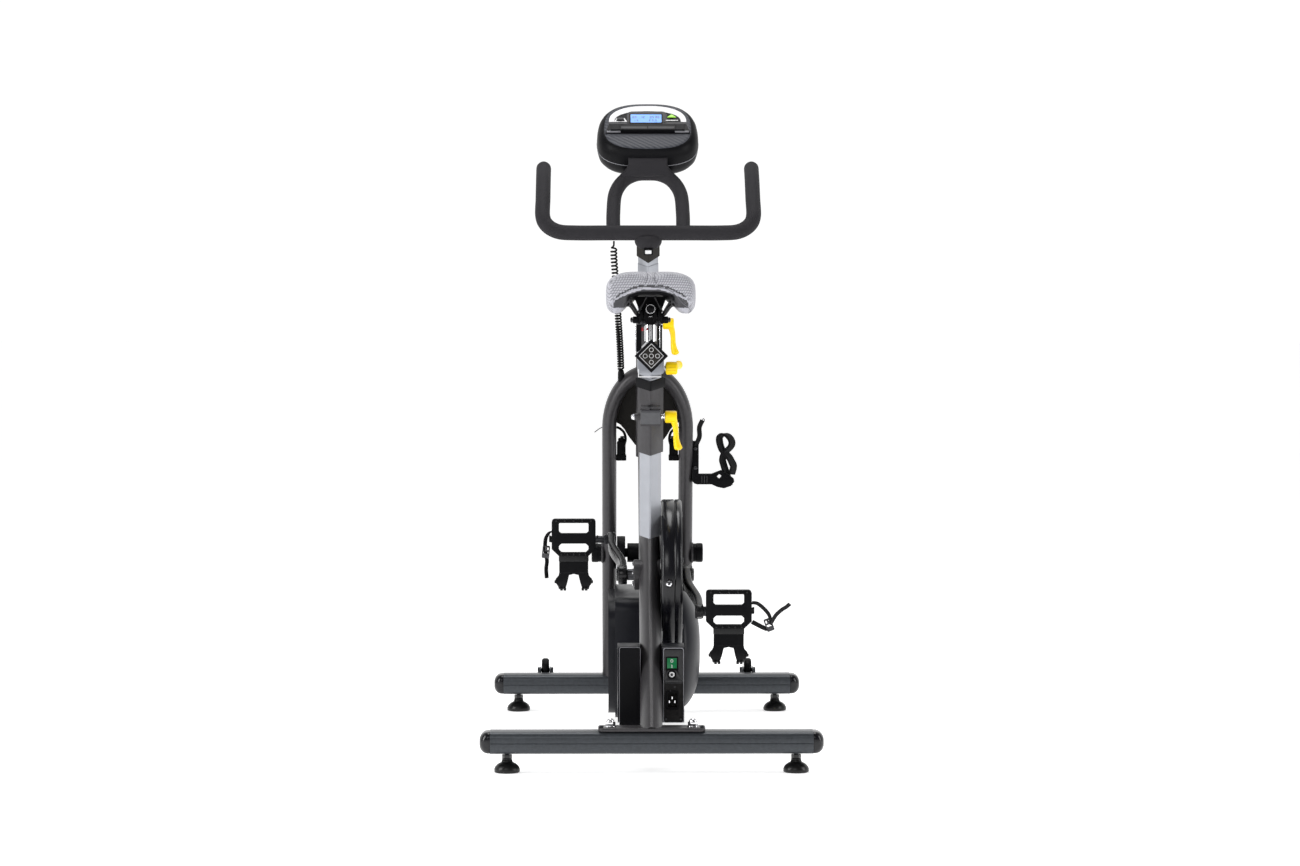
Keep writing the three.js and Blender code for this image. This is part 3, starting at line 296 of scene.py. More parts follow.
WHITE_PLASTIC = surface("white_plastic", (0.75, 0.75, 0.76), 0.4, mottle=(60, 0.03), shine=0.3)
FACE_GREY = ribbed("face_grey", (0.042, 0.044, 0.054), 0.42, "DIAGONAL", 3.2, 0.0007, shine=0.2)
PANEL_GREY = surface("panel_grey", (0.010, 0.009, 0.009), 0.5, grain=(900, 0.5), mottle=(130, 0.35),
                     shine=0.2)
RIM_GREY = surface("rim_grey", (0.22, 0.22, 0.24), 0.4, mottle=(80, 0.08))
PALE_MARK = surface("pale_mark", (0.48, 0.48, 0.49), 0.4, mottle=(80, 0.08))
DARK_MARK = surface("dark_mark", (0.002, 0.002, 0.003), 0.4, shine=0.12)
LCD_BLUE = glowing("lcd_blue", (0.05, 0.23, 0.66), 0.32)
LCD_DIGIT = surface("lcd_digit", (0.01, 0.03, 0.16), 0.3)
RED_MARK = surface("red_mark", (0.62, 0.03, 0.04), 0.4)


# ---------------------------------------------------------------- shapes

TO_REAR = Matrix.Rotation(math.radians(90), 4, "X")            # drawn x, y, z become X, Z, -Y
TO_RIGHT = Matrix(((0, 0, 1, 0), (1, 0, 0, 0), (0, 1, 0, 0), (0, 0, 0, 1)))     # become Y, Z, X
TO_LEFT = TO_RIGHT @ Matrix.Rotation(math.pi, 4, "X")
OUTWARD = {-1: TO_LEFT, 1: TO_RIGHT}
SIDES = (-1, 1)
HANDS = (("left", -1), ("right", 1))
ENDS = ("rear", "front")


def shares(steps):
    """Even shares of a whole, from 0 to 1."""
    return [k / steps for k in range(steps + 1)]


def limited(value):
    """The value, held between 0 and 1."""
    return min(1, max(0, value))


def smooth(low, high, value):
    """0 below the low value, 1 above the high one, eased between."""
    t = limited((value - low) / (high - low))
    return t * t * (3 - 2 * t)


def bulged(value, power):
    """A cosine or sine pushed outwards, which squares a circle's corners."""
    return math.copysign(abs(value) ** power, value)


def mirrored(half):
    """The points reflected in x and put after the given ones, in the order of an outline."""
    return half + [(-point[0], *point[1:]) for point in reversed(half)]


def both_ways(half):
    """A line that starts on the middle plane, led through it from its own mirror image."""
    return [(-point[0], *point[1:]) for point in reversed(half[1:])] + half


def at(x, y, z):
    return Matrix.Translation((x, y, z))


def leaning(point, axis):
    """A frame at a point whose local Z runs up a leaning axis in the YZ plane."""
    return Matrix.Translation(point) @ Matrix.Rotation(math.atan2(-axis.y, axis.z), 4, "X")


def new_shape(vertices, faces):
    shape = bmesh.new()
    made = [shape.verts.new(v) for v in vertices]
    for face in faces:
        shape.faces.new([made[i] for i in face])
    return shape


def loft(rings, closed=False):
    """A skin over rings with the same number of points, capped at both ends unless it closes."""
    count = len(rings[0])
    total = len(rings)
    faces = []
    for ring in range(total if closed else total - 1):
        here, there = ring * count, (ring + 1) % total * count
        for i in range(count):
            j = (i + 1) % count
            faces.append((here + i, here + j, there + j, there + i))
    if not closed:
        faces.append(tuple(reversed(range(count))))
        faces.append(tuple((total - 1) * count + i for i in range(count)))
    return new_shape([p for ring in rings for p in ring], faces)


def lathe(profile, segments=40, closed=False):
    """A profile of (radius, height) turned about Z. It starts and ends on the axis, or closes."""
    count = len(profile)
    vertices = []
    for s in range(segments):
        angle = 2 * math.pi * s / segments
        vertices += [(r * math.cos(angle), r * math.sin(angle), h) for r, h in profile]
    faces = []
    for s in range(segments):
        here, there = s * count, (s + 1) % segments * count
        for i in range(count if closed else count - 1):
            j = (i + 1) % count
            faces.append((here + i, there + i, there + j, here + j))
    return new_shape(vertices, faces)


def rod(radius, length, edge=0.8, segments=32):
    """A round bar along Z from 0, with rounded rims."""
    profile = [(0, 0), (radius - edge, 0), (radius - edge * 0.3, edge * 0.3), (radius, edge),
               (radius, length - edge), (radius - edge * 0.3, length - edge * 0.3), (radius - edge, length),
               (0, length)]
    return lathe(profile, segments)


def hex_nut(across, height, dome=0.0):
    """A nut along Z from 0: a chamfered hexagon, with a dome on top if it is a cap nut."""
    corner = across / 2 / math.cos(math.pi / 6)
    rings = []
    for z, share in ((0, 0.94), (height * 0.12, 1), (height * 0.88, 1), (height, 0.92)):
        rings.append([Vector((corner * share * math.cos(a), corner * share * math.sin(a), z))
                      for a in (math.pi / 3 * k for k in range(6))])
    nut = loft(rings)
    if dome:
        radius = across * 0.44
        cap = [(0, height - 0.5)] + [(radius * math.cos(a), height - 0.5 + dome * math.sin(a))
                                     for a in (math.pi / 2 * k / 8 for k in range(9))]
        nut = join(nut, lathe(cap, 28))
    return nut


def plate(loops, thickness, bevel=0.0, segments=2):
    """Outlines in XY, holes included, thickened about z = 0 with rounded edges."""
    curve = bpy.data.curves.new("outline", "CURVE")
    curve.dimensions = "2D"
    curve.fill_mode = "BOTH"
    curve.extrude = thickness / 2 - bevel
    curve.bevel_depth = bevel
    curve.bevel_resolution = segments
    curve.offset = -bevel
    for loop in loops:
        line = curve.splines.new("POLY")
        line.points.add(len(loop) - 1)
        for point, place in zip(line.points, loop):
            point.co = (place[0], place[1], 0, 1)
        line.use_cyclic_u = True
    holder = bpy.data.objects.new("outline", curve)
    bpy.context.scene.collection.objects.link(holder)
    bpy.context.view_layer.update()
    mesh = bpy.data.meshes.new_from_object(holder.evaluated_get(bpy.context.evaluated_depsgraph_get()))
    shape = bmesh.new()
    shape.from_mesh(mesh)
    bmesh.ops.remove_doubles(shape, verts=shape.verts, dist=0.01)
    bpy.data.objects.remove(holder)
    bpy.data.curves.remove(curve)
    bpy.data.meshes.remove(mesh)
    return shape


BOX_FACES = [(0, 1, 3, 2), (4, 6, 7, 5), (0, 4, 5, 1), (2, 3, 7, 6), (0, 2, 6, 4), (1, 5, 7, 3)]


def block(x0, x1, y0, y1, z0, z1):
    return new_shape([(x, y, z) for x in (x0, x1) for y in (y0, y1) for z in (z0, z1)], BOX_FACES)


def join(*shapes):
    whole = bmesh.new()
    for shape in shapes:
        mesh = bpy.data.meshes.new("part")
        shape.to_mesh(mesh)
        shape.free()
        whole.from_mesh(mesh)
        bpy.data.meshes.remove(mesh)
    return whole


def moved(shape, matrix):
    shape.transform(matrix)
    return shape


def circle(radius, sides=32):
    angles = [2 * math.pi * k / sides for k in range(sides)]
    return [(radius * math.cos(angle), radius * math.sin(angle)) for angle in angles]


def circle_at(radius, x, y, sides=32):
    return [(x + u, y + v) for u, v in circle(radius, sides)]


def rounded_rect(half_x, half_y, radius, steps=6, x=0.0, y=0.0):
    points = []
    for quarter, (sx, sy) in enumerate(((1, 1), (-1, 1), (-1, -1), (1, -1))):
        for k in range(steps + 1):
            angle = math.pi / 2 * (quarter + k / steps)
            points.append((x + sx * (half_x - radius) + radius * math.cos(angle),
                           y + sy * (half_y - radius) + radius * math.sin(angle)))
    return points


def diamond(half, corner=1.5, steps=4):
    square = rounded_rect(half / math.sqrt(2), half / math.sqrt(2), corner, steps)
    turn = Matrix.Rotation(math.radians(45), 2)
    return [tuple(turn @ Vector(p)) for p in square]


def spline(points, steps=8):
    """A smooth line through the points."""
    knots = [Vector(p) for p in points]
    line = []
    for i in range(len(knots) - 1):
        before = knots[i - 1] if i else knots[0] * 2 - knots[1]
        after = knots[i + 2] if i + 2 < len(knots) else knots[-1] * 2 - knots[-2]
        a, b = knots[i], knots[i + 1]
        for k in range(steps):
            t = k / steps
            line.append(0.5 * (2 * a + (b - before) * t + (2 * before - 5 * a + 4 * b - after) * t * t
                               + (3 * a - before - 3 * b + after) * t ** 3))
    line.append(knots[-1])
    return line


def sweep(path, section, up=(0, 0, 1)):
    """A section of (u, v) points carried along a path, turning as little as it can."""
    path = [Vector(p) for p in path]
    rings = []
    side = None
    for i, point in enumerate(path):
        ahead = path[i + 1] if i + 1 < len(path) else point * 2 - path[i - 1]
        behind = path[i - 1] if i else point * 2 - path[1]
        tangent = (ahead - behind).normalized()
        if side is None:
            side = Vector(up).cross(tangent)
            if side.length < 1e-6:
                side = Vector((1, 0, 0))
        side = (side - tangent * side.dot(tangent)).normalized()
        over = tangent.cross(side)
        rings.append([point + side * u + over * v for u, v in section])
    return loft(rings)


def wire(points, radius, steps=6, sides=16):
    return sweep(spline(points, steps), circle(radius, sides))


def piece(name, body, shape, finish, replaces=(), bevel=0.0, sharp=35):
    """Turns a shape in millimetres into a named piece, in metres, that moves with a body of the frame."""
    shape.transform(Matrix.Scale(MM, 4))
    bmesh.ops.remove_doubles(shape, verts=shape.verts, dist=2e-6)
    bmesh.ops.dissolve_degenerate(shape, edges=shape.edges, dist=1e-6)
    bmesh.ops.recalc_face_normals(shape, faces=shape.faces)
    mesh = bpy.data.meshes.new(name)
    shape.to_mesh(mesh)
    shape.free()
    mesh.polygons.foreach_set("use_smooth", [True] * len(mesh.polygons))
    mesh.set_sharp_from_angle(angle=math.radians(sharp))
    mesh.materials.append(finish)
    made = bpy.data.objects.new(name, mesh)
    bpy.context.scene.collection.objects.link(made)
    if bevel:
        round_edges(made, bevel)
    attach(made, body)
    if replaces:
        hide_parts(*replaces)
    return made


def round_edges(made, width):
    modifier = made.modifiers.new("round_edges", "BEVEL")
    modifier.width = width * MM
    modifier.segments = 3
    modifier.limit_method = "ANGLE"
    modifier.angle_limit = math.radians(32)
    modifier.harden_normals = True
    modifier.miter_outer = "MITER_ARC"


def finish_node(node, finish, bevel=0.0, sharp=32):
    """Keeps a CAD node's shape, with a material, smooth shading and rounded edges."""
    made = frame["nodes"][node]
    made.data.materials.clear()
    made.data.materials.append(finish)
    made.data.polygons.foreach_set("use_smooth", [True] * len(made.data.polygons))
    made.data.set_sharp_from_angle(angle=math.radians(sharp))
    weld = made.modifiers.new("weld", "WELD")
    weld.merge_threshold = 2e-5
    if bevel:
        round_edges(made, bevel)


def span(node):
    low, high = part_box(node)
    return low / MM, high / MM


def middle(node):
    low, high = span(node)
    return (low + high) / 2


def joint_point(name):
    return Vector(JOINTS[name]["pos_m"]) / MM


def outward(side, x, place):
    """A frame on one side of the bike, level with a place, whose local Z points away from the bike."""
    return at(side * x, place.y, place.z) @ OUTWARD[side]


# ---------------------------------------------------------------- base

def stabiliser_section(half_y, half_z, groove=0.9):
    """A rounded oblong with a fine crease along the middle of each upright face."""
    points = rounded_rect(half_y, half_z, 13, 7)
    half = len(points) // 2
    crease = [(-half_y, 1.6), (-half_y + groove, 0), (-half_y, -1.6)]
    return points[:half] + crease + points[half:] + [(-u, -v) for u, v in crease]


def make_stabilisers():
    for end in ENDS:
        low, high = span(f"{end}_stabiliser")
        y = middle(f"foot_{end}_left").y
        bottom, top = span("end_cap_rear_left")[0].z, span("end_cap_rear_left")[1].z
        section = stabiliser_section(30, (top - bottom) / 2)
        rings = [[Vector((x, y + u, (top + bottom) / 2 + v)) for u, v in section] for x in (low.x, high.x)]
        piece(f"{end}_stabiliser_tube", "frame", loft(rings), SLATE_PAINT,
              [f"{end}_stabiliser"], sharp=25)
        for hand, side in HANDS:
            make_end_cap(end, hand, side, high.x, y, (top + bottom) / 2)
            make_foot(end, hand)


def make_end_cap(end, hand, side, start, y, z):
    length = span("end_cap_rear_right")[1].x - start
    rings = []
    for share in shares(12):
        along = start + length * share
        shrink = 15.5 * (1 - math.sqrt(max(0, 1 - (share * 0.985) ** 2.6))) + (0.35 if share else 0.9)
        outline = rounded_rect(30 - shrink, 20 - shrink, max(1.2, min(13, 19.5 - shrink)), 6)
        rings.append([Vector((side * along, y + u, z + v)) for u, v in outline])
    piece(f"{end}_{hand}_cap", "frame", loft(rings), GLOSS_BLACK,
          [f"end_cap_{end}_{hand}"], sharp=50)


def make_foot(end, hand):
    node = f"foot_{end}_{hand}"
    place = middle(node)
    here = at(place.x, place.y, 0)
    pad = [(0, 0), (20.5, 0), (22.3, 0.9), (23, 2.6), (23, 6.2), (22.5, 8.2), (20.6, 11.6), (17.2, 15),
           (13, 17.6), (10.4, 18.8), (9.6, 20), (9.4, 22.2), (8.6, 23), (0, 23)]
    stem = moved(rod(4, 38), here @ at(0, 0, 20))
    nut = join(moved(hex_nut(15.5, 7), here @ at(0, 0, 25.4)),
               moved(rod(9.2, 1.6, 0.4), here @ at(0, 0, 23.4)))
    foot = f"{end}_{hand}_foot"
    piece(f"{foot}_pad", foot, moved(lathe(pad), here), FOOT_RUBBER, [node], sharp=60)
    piece(f"{foot}_stem", foot, stem, DARK_STEEL)
    piece(f"{foot}_nut", foot, nut, GLOSS_BLACK)


def make_wheels():
    """Wheels on pins between two ears that reach forward from the front stabiliser."""
    tyre = [(5.2, -7), (17.5, -7), (18.5, -7.5), (21, -7.2), (23.2, -5.2), (24, -2.4)]
    tyre += [(radius, -x) for radius, x in reversed(tyre)]
    for hand, _ in HANDS:
        place = joint_point(f"{hand}_wheel_spin")
        here = at(*place) @ TO_RIGHT
        piece(f"{hand}_wheel_tyre", f"{hand}_wheel", moved(lathe(tyre, 48, True), here), BLACK_PLASTIC,
              [f"transport_wheel_{hand}"])
        root = middle("foot_front_left").y + 28
        ears = []
        for offset in (-10.2, 10.2):
            outline = rounded_rect((place.y + 7 - root) / 2, 12.5, 6, 5, (place.y + 7 + root) / 2,
                                   place.z - 5.5)
            ears.append(moved(plate([outline], 3, 0.5), at(place.x + offset, 0, 0) @ TO_RIGHT))
        pin = moved(rod(4, 28, 0.6), at(place.x - 14, place.y, place.z) @ TO_RIGHT)
        heads = [moved(hex_nut(11, 4), at(place.x + x, place.y, place.z) @ TO_RIGHT) for x in (11.8, -15.8)]
        piece(f"{hand}_wheel_bracket", "frame", join(*ears, pin, *heads), SLATE_PAINT)


# ---------------------------------------------------------------- welded frame

CRANK = joint_point("crank_spin")
BEAM_SLOPE = math.radians(36.4)
HEAD_OUTER = 24.3
HEAD_POINT = middle("head_tube")
HEAD_POINT.x = 0
HEAD_FRAME = leaning(HEAD_POINT, HEAD_AXIS)


def up_head(z):
    """How far up the head tube's axis from its middle a height lies."""
    return (z - HEAD_POINT.z) / HEAD_AXIS.z


def round_crank(radius, count, first):
    """Places (y, z) spaced evenly on a circle round the crank axle, from a first angle in degrees."""
    angles = [math.radians(first + 360 / count * k) for k in range(count)]
    return [(CRANK.y + radius * math.cos(angle), CRANK.z + radius * math.sin(angle)) for angle in angles]


def make_beam():
    direction = Vector((0, math.cos(BEAM_SLOPE), math.sin(BEAM_SLOPE)))
    normal = Vector((0, -math.sin(BEAM_SLOPE), math.cos(BEAM_SLOPE)))
    low, _ = span("main_beam")
    tube_top = span("end_cap_rear_left")[1].z
    foot_z = tube_top + 5
    across = Vector((0, 1, 0)) * HEAD_AXIS.z - Vector((0, 0, 1)) * HEAD_AXIS.y
    starts, ends = [], []
    for u, v in circle(1, 48):
        base = CRANK + Vector((20 * u, 0, 0)) + normal * (37.5 * v)
        down = max((foot_z - base.z) / direction.z, (low.y - base.y) / direction.y)
        starts.append(base + direction * down)
        reach = -(HEAD_OUTER - abs(20 * u)) + 1.2
        up = (reach - (base - HEAD_POINT).dot(across)) / direction.dot(across)
        ends.append(base + direction * up)
    rings = [[a.lerp(b, share) for a, b in zip(starts, ends)] for share in shares(6)]
    piece("main_beam_tube", "frame", loft(rings), FRAME_PAINT, ["main_beam"], sharp=60)

    plate_low, plate_high = tube_top + 0.4, tube_top + 6.5
    y = middle("foot_rear_left").y
    outline = rounded_rect(95, 27, 9, 5, 0, y)
    base_plate = moved(plate([outline], plate_high - plate_low, 1.0), at(0, 0, (plate_low + plate_high) / 2))
    piece("base_plate", "frame", base_plate, FRAME_PAINT)
    for hand, side in HANDS:
        washer = moved(rod(10.5, 1.4, 0.3), at(side * 73.5, y, plate_high))
        nut = moved(hex_nut(16, 7.5, 7), at(side * 73.5, y, plate_high + 1.4))
        piece(f"{hand}_base_nut", "frame", join(washer, nut), CHROME)
        screw = moved(hex_nut(7, 3.4, 1.6), at(side * 90, y - 17, plate_high))
        piece(f"{hand}_base_screw", "frame", screw, DARK_STEEL)

    shell = [(11.5, -30), (26.5, -30), (28, -28.5), (28, 18), (27, 19.5), (11.5, 19.5)]
    shell_shape = moved(lathe(shell, 48, True), at(*CRANK) @ TO_RIGHT)
    piece("bottom_bracket", "frame", shell_shape, FRAME_PAINT)
    bolts = [moved(hex_nut(6, 3), at(-32.6, *place) @ TO_RIGHT) for place in round_crank(20, 5, 20)]
    piece("bottom_bracket_bolts", "frame", join(*bolts), CHROME)


def make_arch():
    """Two bent legs of one oval section, met by the head tube at the crown."""
    leg_x, rise, straight = 75, 116, 534
    bottom = up_head(75.3)
    shaft = joint_point("shaft_spin")
    for hand, side in HANDS:
        stations = [(leg_x, bottom - 2, 0), (leg_x, bottom + straight * 0.5, 0)]
        for angle in (math.pi / 2 * share for share in shares(28)):
            stations.append((leg_x * math.cos(angle), bottom + straight + rise * math.sin(angle), angle))
        rings = []
        for x, z, angle in stations:
            normal = Vector((rise * math.cos(angle), 0, leg_x * math.sin(angle))).normalized()
            ring = []
            for u, v in circle(1, 28):
                point = Vector((x, 0, z)) + normal * (14 * u) + Vector((0, 20 * v, 0))
                point.x = max(point.x, HEAD_OUTER - abs(point.y) - 1.4)
                ring.append(HEAD_FRAME @ Vector((side * point.x, point.y, point.z)))
            rings.append(ring)
        piece(f"arch_leg_{hand}_tube", "frame", loft(rings), FRAME_PAINT,
              [f"arch_leg_{hand}"], sharp=50)
        cup = [(0, 110.3), (15, 110.3), (17.6, 109.6), (19, 107.8), (19, 98), (18.2, 97), (18.2, 84),
               (0, 84)]
        across = Matrix.Scale(side, 4, (1, 0, 0))
        cup_shape = moved(lathe(cup, 40), across @ at(0, shaft.y, shaft.z) @ TO_RIGHT)
        piece(f"axle_cup_{hand}", "frame", cup_shape, BLACK_PLASTIC)
        weld = moved(rod(20.5, 5, 1.5), across @ at(86, shaft.y, shaft.z) @ TO_RIGHT)
        piece(f"axle_boss_{hand}", "frame", weld, FRAME_PAINT)


def make_frame():
    make_beam()
    make_arch()
    finish_node("head_tube", FRAME_PAINT, 0.8)
    finish_node("top_tube", FRAME_PAINT, 0.8)
    finish_node("seat_tube", FRAME_PAINT, 0.9)
    finish_node("seat_collar", BLACK_PLASTIC, 0.8)
    make_shield()
    make_sleeve_details()


def make_shield():
    """A dark plate behind the arch, with two buffers hanging below it and a loose cable end."""
    outline = mirrored([(79, -113), (66, -117), (54, -124), (45, -135), (38, -148), (31, -158), (24, -168)])
    for angle in (math.pi * (1 - share) for share in shares(24)):
        outline.append((79 * math.cos(angle), -113 + 108 * math.sin(angle)))
    shape = moved(plate([outline], 4, 1.2), HEAD_FRAME @ at(0, 27, up_head(690)) @ TO_REAR)
    piece("arch_shield_plate", "frame", shape, SHIELD_PLASTIC, ["arch_shield"])
    place = middle("arch_shield")
    for hand, side in HANDS:
        x, y, z = side * 51.5, place.y + 14, 531
        rubber = moved(plate([rounded_rect(8.6, 18, 2.5, 4)], 19, 2.2, 3), at(x, y, z) @ TO_REAR)
        foot = moved(plate([rounded_rect(10, 6, 2, 3)], 21, 1.6, 3), at(x, y, z - 14) @ TO_REAR)
        knob = moved(lathe([(0, 0), (6, 0), (6.4, 1), (6.4, 5), (5, 7), (0, 7.4)], 28), at(x, y, z + 17.5))
        piece(f"{hand}_buffer", "frame", join(rubber, foot, knob), BLACK_PLASTIC, bevel=0.4)
        cap = moved(lathe([(0, 0), (3.6, 0), (4.2, 0.8), (4.2, 2.4), (3.2, 3.4), (0, 3.8)], 24),
                    at(x - side * 2, y, z + 24.6))
        piece(f"{hand}_buffer_cap", "frame", cap, GREY_PLASTIC)
        arm = wire([(side * 61, y - 6, 577), (side * 54, y - 5, 574), (side * 46, y - 3, 566),
                    (side * 43, y, 554), (side * 45, y, 543)], 2.6, 6, 14)
        piece(f"{hand}_buffer_arm", "frame", arm, BLACK_PLASTIC)
    tail = wire([(-86, place.y + 10, 578), (-94, place.y + 8, 574), (-104, place.y + 6, 567)], 0.8, 5, 8)
    piece("cable_tie_tail", "frame", tail, BLACK_PLASTIC)


def make_sleeve_details():
    """The clamp plate on the seat sleeve, its ribbed chip, and the cross bolt's nut and washer."""
    lever = joint_point("seat_height_lever_turn")
    here = leaning(Vector((0, lever.y, lever.z)), SEAT_AXIS)
    face = -12.2
    plate_shape = moved(plate([rounded_rect(18.2, 13.6, 2.2, 4)], 3, 0.9, 3),
                        here @ at(0, face, 4) @ TO_REAR)
    piece("clamp_plate", "frame", plate_shape, GREY_PAINT)
    lip = moved(plate([rounded_rect(17, 2, 0.8, 2)], 1.2, 0.3), here @ at(0, face - 2, 15.5) @ TO_REAR)
    ribs = [moved(block(x - 0.7, x + 0.7, -4.2, 3.8, 0, 4.6), here @ at(0, face + 3, 20))
            for x in (-16 + 2.5 * k for k in range(14))]
    piece("clamp_chip", "frame", join(lip, *ribs), DARK_STEEL, bevel=0.3)
    left = join(
        moved(rod(5.6, 2.2, 0.5), at(-28, lever.y, lever.z) @ TO_RIGHT),
        moved(hex_nut(10, 4.6, 3), at(-28.2, lever.y, lever.z) @ TO_LEFT),
        moved(rod(3.4, 10, 0.4), at(-27, lever.y, lever.z) @ TO_RIGHT))
    piece("seat_clamp_nut", "frame", left, CHROME)
    right = moved(rod(5.4, 2.6, 0.5), at(18.6, lever.y, lever.z) @ TO_RIGHT)
    piece("seat_clamp_washer", "frame", right, CHROME)


make_stabilisers()
make_wheels()
make_frame()


# ---------------------------------------------------------------- drive

CRANK_FACES = {-1: (43, 64), 1: (63, 82)}     # the arm's inner face at the axle and at the pedal
CRANK_START = -14
CRANK_LENGTH = 198


def make_cranks():
    finish_node("crank_axle", DARK_STEEL, 0.5)
    finish_node("cross_shaft", BLACK_PLASTIC, 0.8)
    finish_node("generator_rotor", DARK_STEEL, 0.8)
    finish_node("drive_belt", BELT_RUBBER)
    finish_node("generator_belt", BELT_RUBBER)
    for hand, side in HANDS:
        pedal = joint_point(f"{hand}_pedal_spin")
        arm = pedal - CRANK
        direction = Vector((0, arm.y, arm.z)).normalized()
        over = Vector((1, 0, 0)).cross(direction)
        inner, outer = CRANK_FACES[side]
        rings = []
        for share in shares(24):
            along = CRANK_START + CRANK_LENGTH * share
            ease = 0.5 - 0.5 * math.cos(math.pi * limited((along - 30) / 115))
            half = 17 - 5.2 * limited(along / 60) + 1.8 * limited((along - 140) / 25)
            ending = min(1, (along + 14.5) / 15, (185 - along) / 13)
            half = max(2.2, half * math.sqrt(max(0.02, 1 - (1 - ending) ** 2)))
            x = inner + (outer - inner) * ease + 6.5
            centre = CRANK + direction * along + Vector((side * x, 0, 0))
            rings.append([centre + Vector((u, 0, 0)) + over * v
                          for u, v in rounded_rect(6.5, half, min(3.4, half - 0.2), 4)])
        hub = moved(rod(18, 17, 2), outward(side, inner - 1, CRANK))
        boss = moved(rod(13.5, 15, 2), outward(side, outer - 1, pedal))
        piece(f"{hand}_crank_arm", "crank_set", join(loft(rings), hub, boss), CRANK_PAINT,
              [f"crank_{hand}"], sharp=40)
        cap = moved(lathe([(0, 0), (11.5, 0), (12.5, 1), (11, 3), (0, 3.6)], 36),
                    outward(side, inner + 16, CRANK))
        piece(f"{hand}_crank_cap", "crank_set", cap, GLOSS_BLACK)
        spindle = moved(rod(6.8, 78, 1), outward(side, outer + 10, pedal))
        flats = moved(hex_nut(17, 8), outward(side, outer + 13, pedal))
        piece(f"{hand}_pedal_spindle", "crank_set", join(spindle, flats), DARK_STEEL)


def make_pedals():
    """Caged pedals that hang from their axles with the cage below and curling forward."""
    for hand, side in HANDS:
        body = f"{hand}_pedal"
        here = at(*joint_point(f"{hand}_pedal_spin"))
        outline = mirrored([(28, -31), (41.6, -18), (41.6, 34), (40, 37.6), (36.6, 39)])
        windows = [mirrored([(24, 11.6), (28, 15), (28, 30), (26.5, 31.6)]),
                   mirrored([(23, -24.4), (28, -19.5), (28, -12), (23, -7.4)])]
        faces = [moved(plate([outline, *windows], 5, 1.1, 3), here @ TO_REAR @ at(0, 0, lift))
                 for lift in (8.5, -8.5)]
        edges = ((-41, -37, -17, 34), (37, 41, -17, 34), (-36, 36, 33.2, 38), (-27, 27, -30, -26))
        walls = [moved(block(x0, x1, -9, 9, z0, z1), here) for x0, x1, z0, z1 in edges]
        piece(f"{hand}_pedal_platform", body, join(*faces, *walls), BLACK_PLASTIC,
              [f"pedal_{hand}"], bevel=0.8)
        barrel = [(0, -38), (9, -38), (9, -29), (8.2, -27), (7.4, -20), (7.4, 20), (8.2, 27), (9, 29),
                  (9, 40), (7.6, 41.6), (0, 41.6)]
        if side < 0:
            barrel = [(r, -h) for r, h in reversed(barrel)]
        piece(f"{hand}_pedal_barrel", body, moved(lathe(barrel, 36), here @ at(0, 0, 1.6) @ TO_RIGHT),
              CRANK_PAINT, sharp=50)
        studs = []
        for x in (-33, -16.5, 0, 16.5, 33):
            studs.append(moved(rod(1.9, 2.4, 0.4, 12), here @ at(x, -11, 35.4) @ TO_REAR))
            studs.append(moved(rod(1.9, 2.4, 0.4, 12), here @ at(x * 0.7, -11, -27.8) @ TO_REAR))
        piece(f"{hand}_pedal_studs", body, join(*studs), CRANK_PAINT)
        make_toe_cage(hand, body, here)
        make_pedal_strap(hand, side, body, here)


CAGE_LINE = [(0, 0, -26), (0, 1, -38), (0, 4, -50), (0, 8, -64), (0, 15, -80), (0, 28, -93), (0, 44, -96),
             (0, 57, -88), (0, 63, -74)]
CAGE_EDGE = ((-26, 27.5), (-64, 27.5), (-70, 29), (-77, 35), (-83, 34.5), (-90, 30), (-97, 28.5))
CAGE_NOTCH = ((-66, 0), (-67, 8.6), (-72, 9.8), (-82, 12), (-97, 16.5))


def along_table(table, value):
    """Straight-line reading of (key, result) rows whose keys fall."""
    if value >= table[0][0]:
        return table[0][1]
    for (k0, v0), (k1, v1) in zip(table, table[1:]):
        if value >= k1:
            return v0 + (v1 - v0) * (k0 - value) / (k0 - k1)
    return table[-1][1]


def make_toe_cage(hand, body, here):
    """A bent cage of one sheet: a neck, two flared tips and a notch between them."""
    line = spline(CAGE_LINE, 8)
    total = len(line)
    lowest = min(range(total), key=lambda i: line[i].z)
    shapes = []
    for sign in SIDES:
        rings = []
        for i, point in enumerate(line):
            depth = point.z if i <= lowest else -97
            outer = along_table(CAGE_EDGE, depth)
            inner = along_table(CAGE_NOTCH, depth)
            tangent = (line[min(total - 1, i + 1)] - line[max(0, i - 1)]).normalized()
            normal = Vector((0, tangent.z, -tangent.y))
            corners = ((inner, -1.7), (outer, -1.7), (outer, 1.7), (inner, 1.7))
            rings.append([point + Vector((sign * x, 0, 0)) + normal * lift for x, lift in corners])
        shapes.append(moved(loft(rings), here))
    piece(f"{hand}_toe_cage", body, join(*shapes), BLACK_PLASTIC, bevel=0.7, sharp=50)
    step = moved(plate([rounded_rect(28.2, 6.4, 1.6, 3, 0, -35.6)], 4.4, 1), here @ at(0, -1.2, 0) @ TO_REAR)
    teeth = [moved(block(x, x + 4.2, 7, 15, -84, -78.5), here) for x in (-36.6, 32.4)]
    tabs = [moved(block(x, x + 5, 24, 31, -99.4, -94), here) for x in (-26, -19.5, 14.5, 21)]
    piece(f"{hand}_toe_cage_step", body, join(step, *teeth, *tabs), CRANK_PAINT, bevel=0.7)


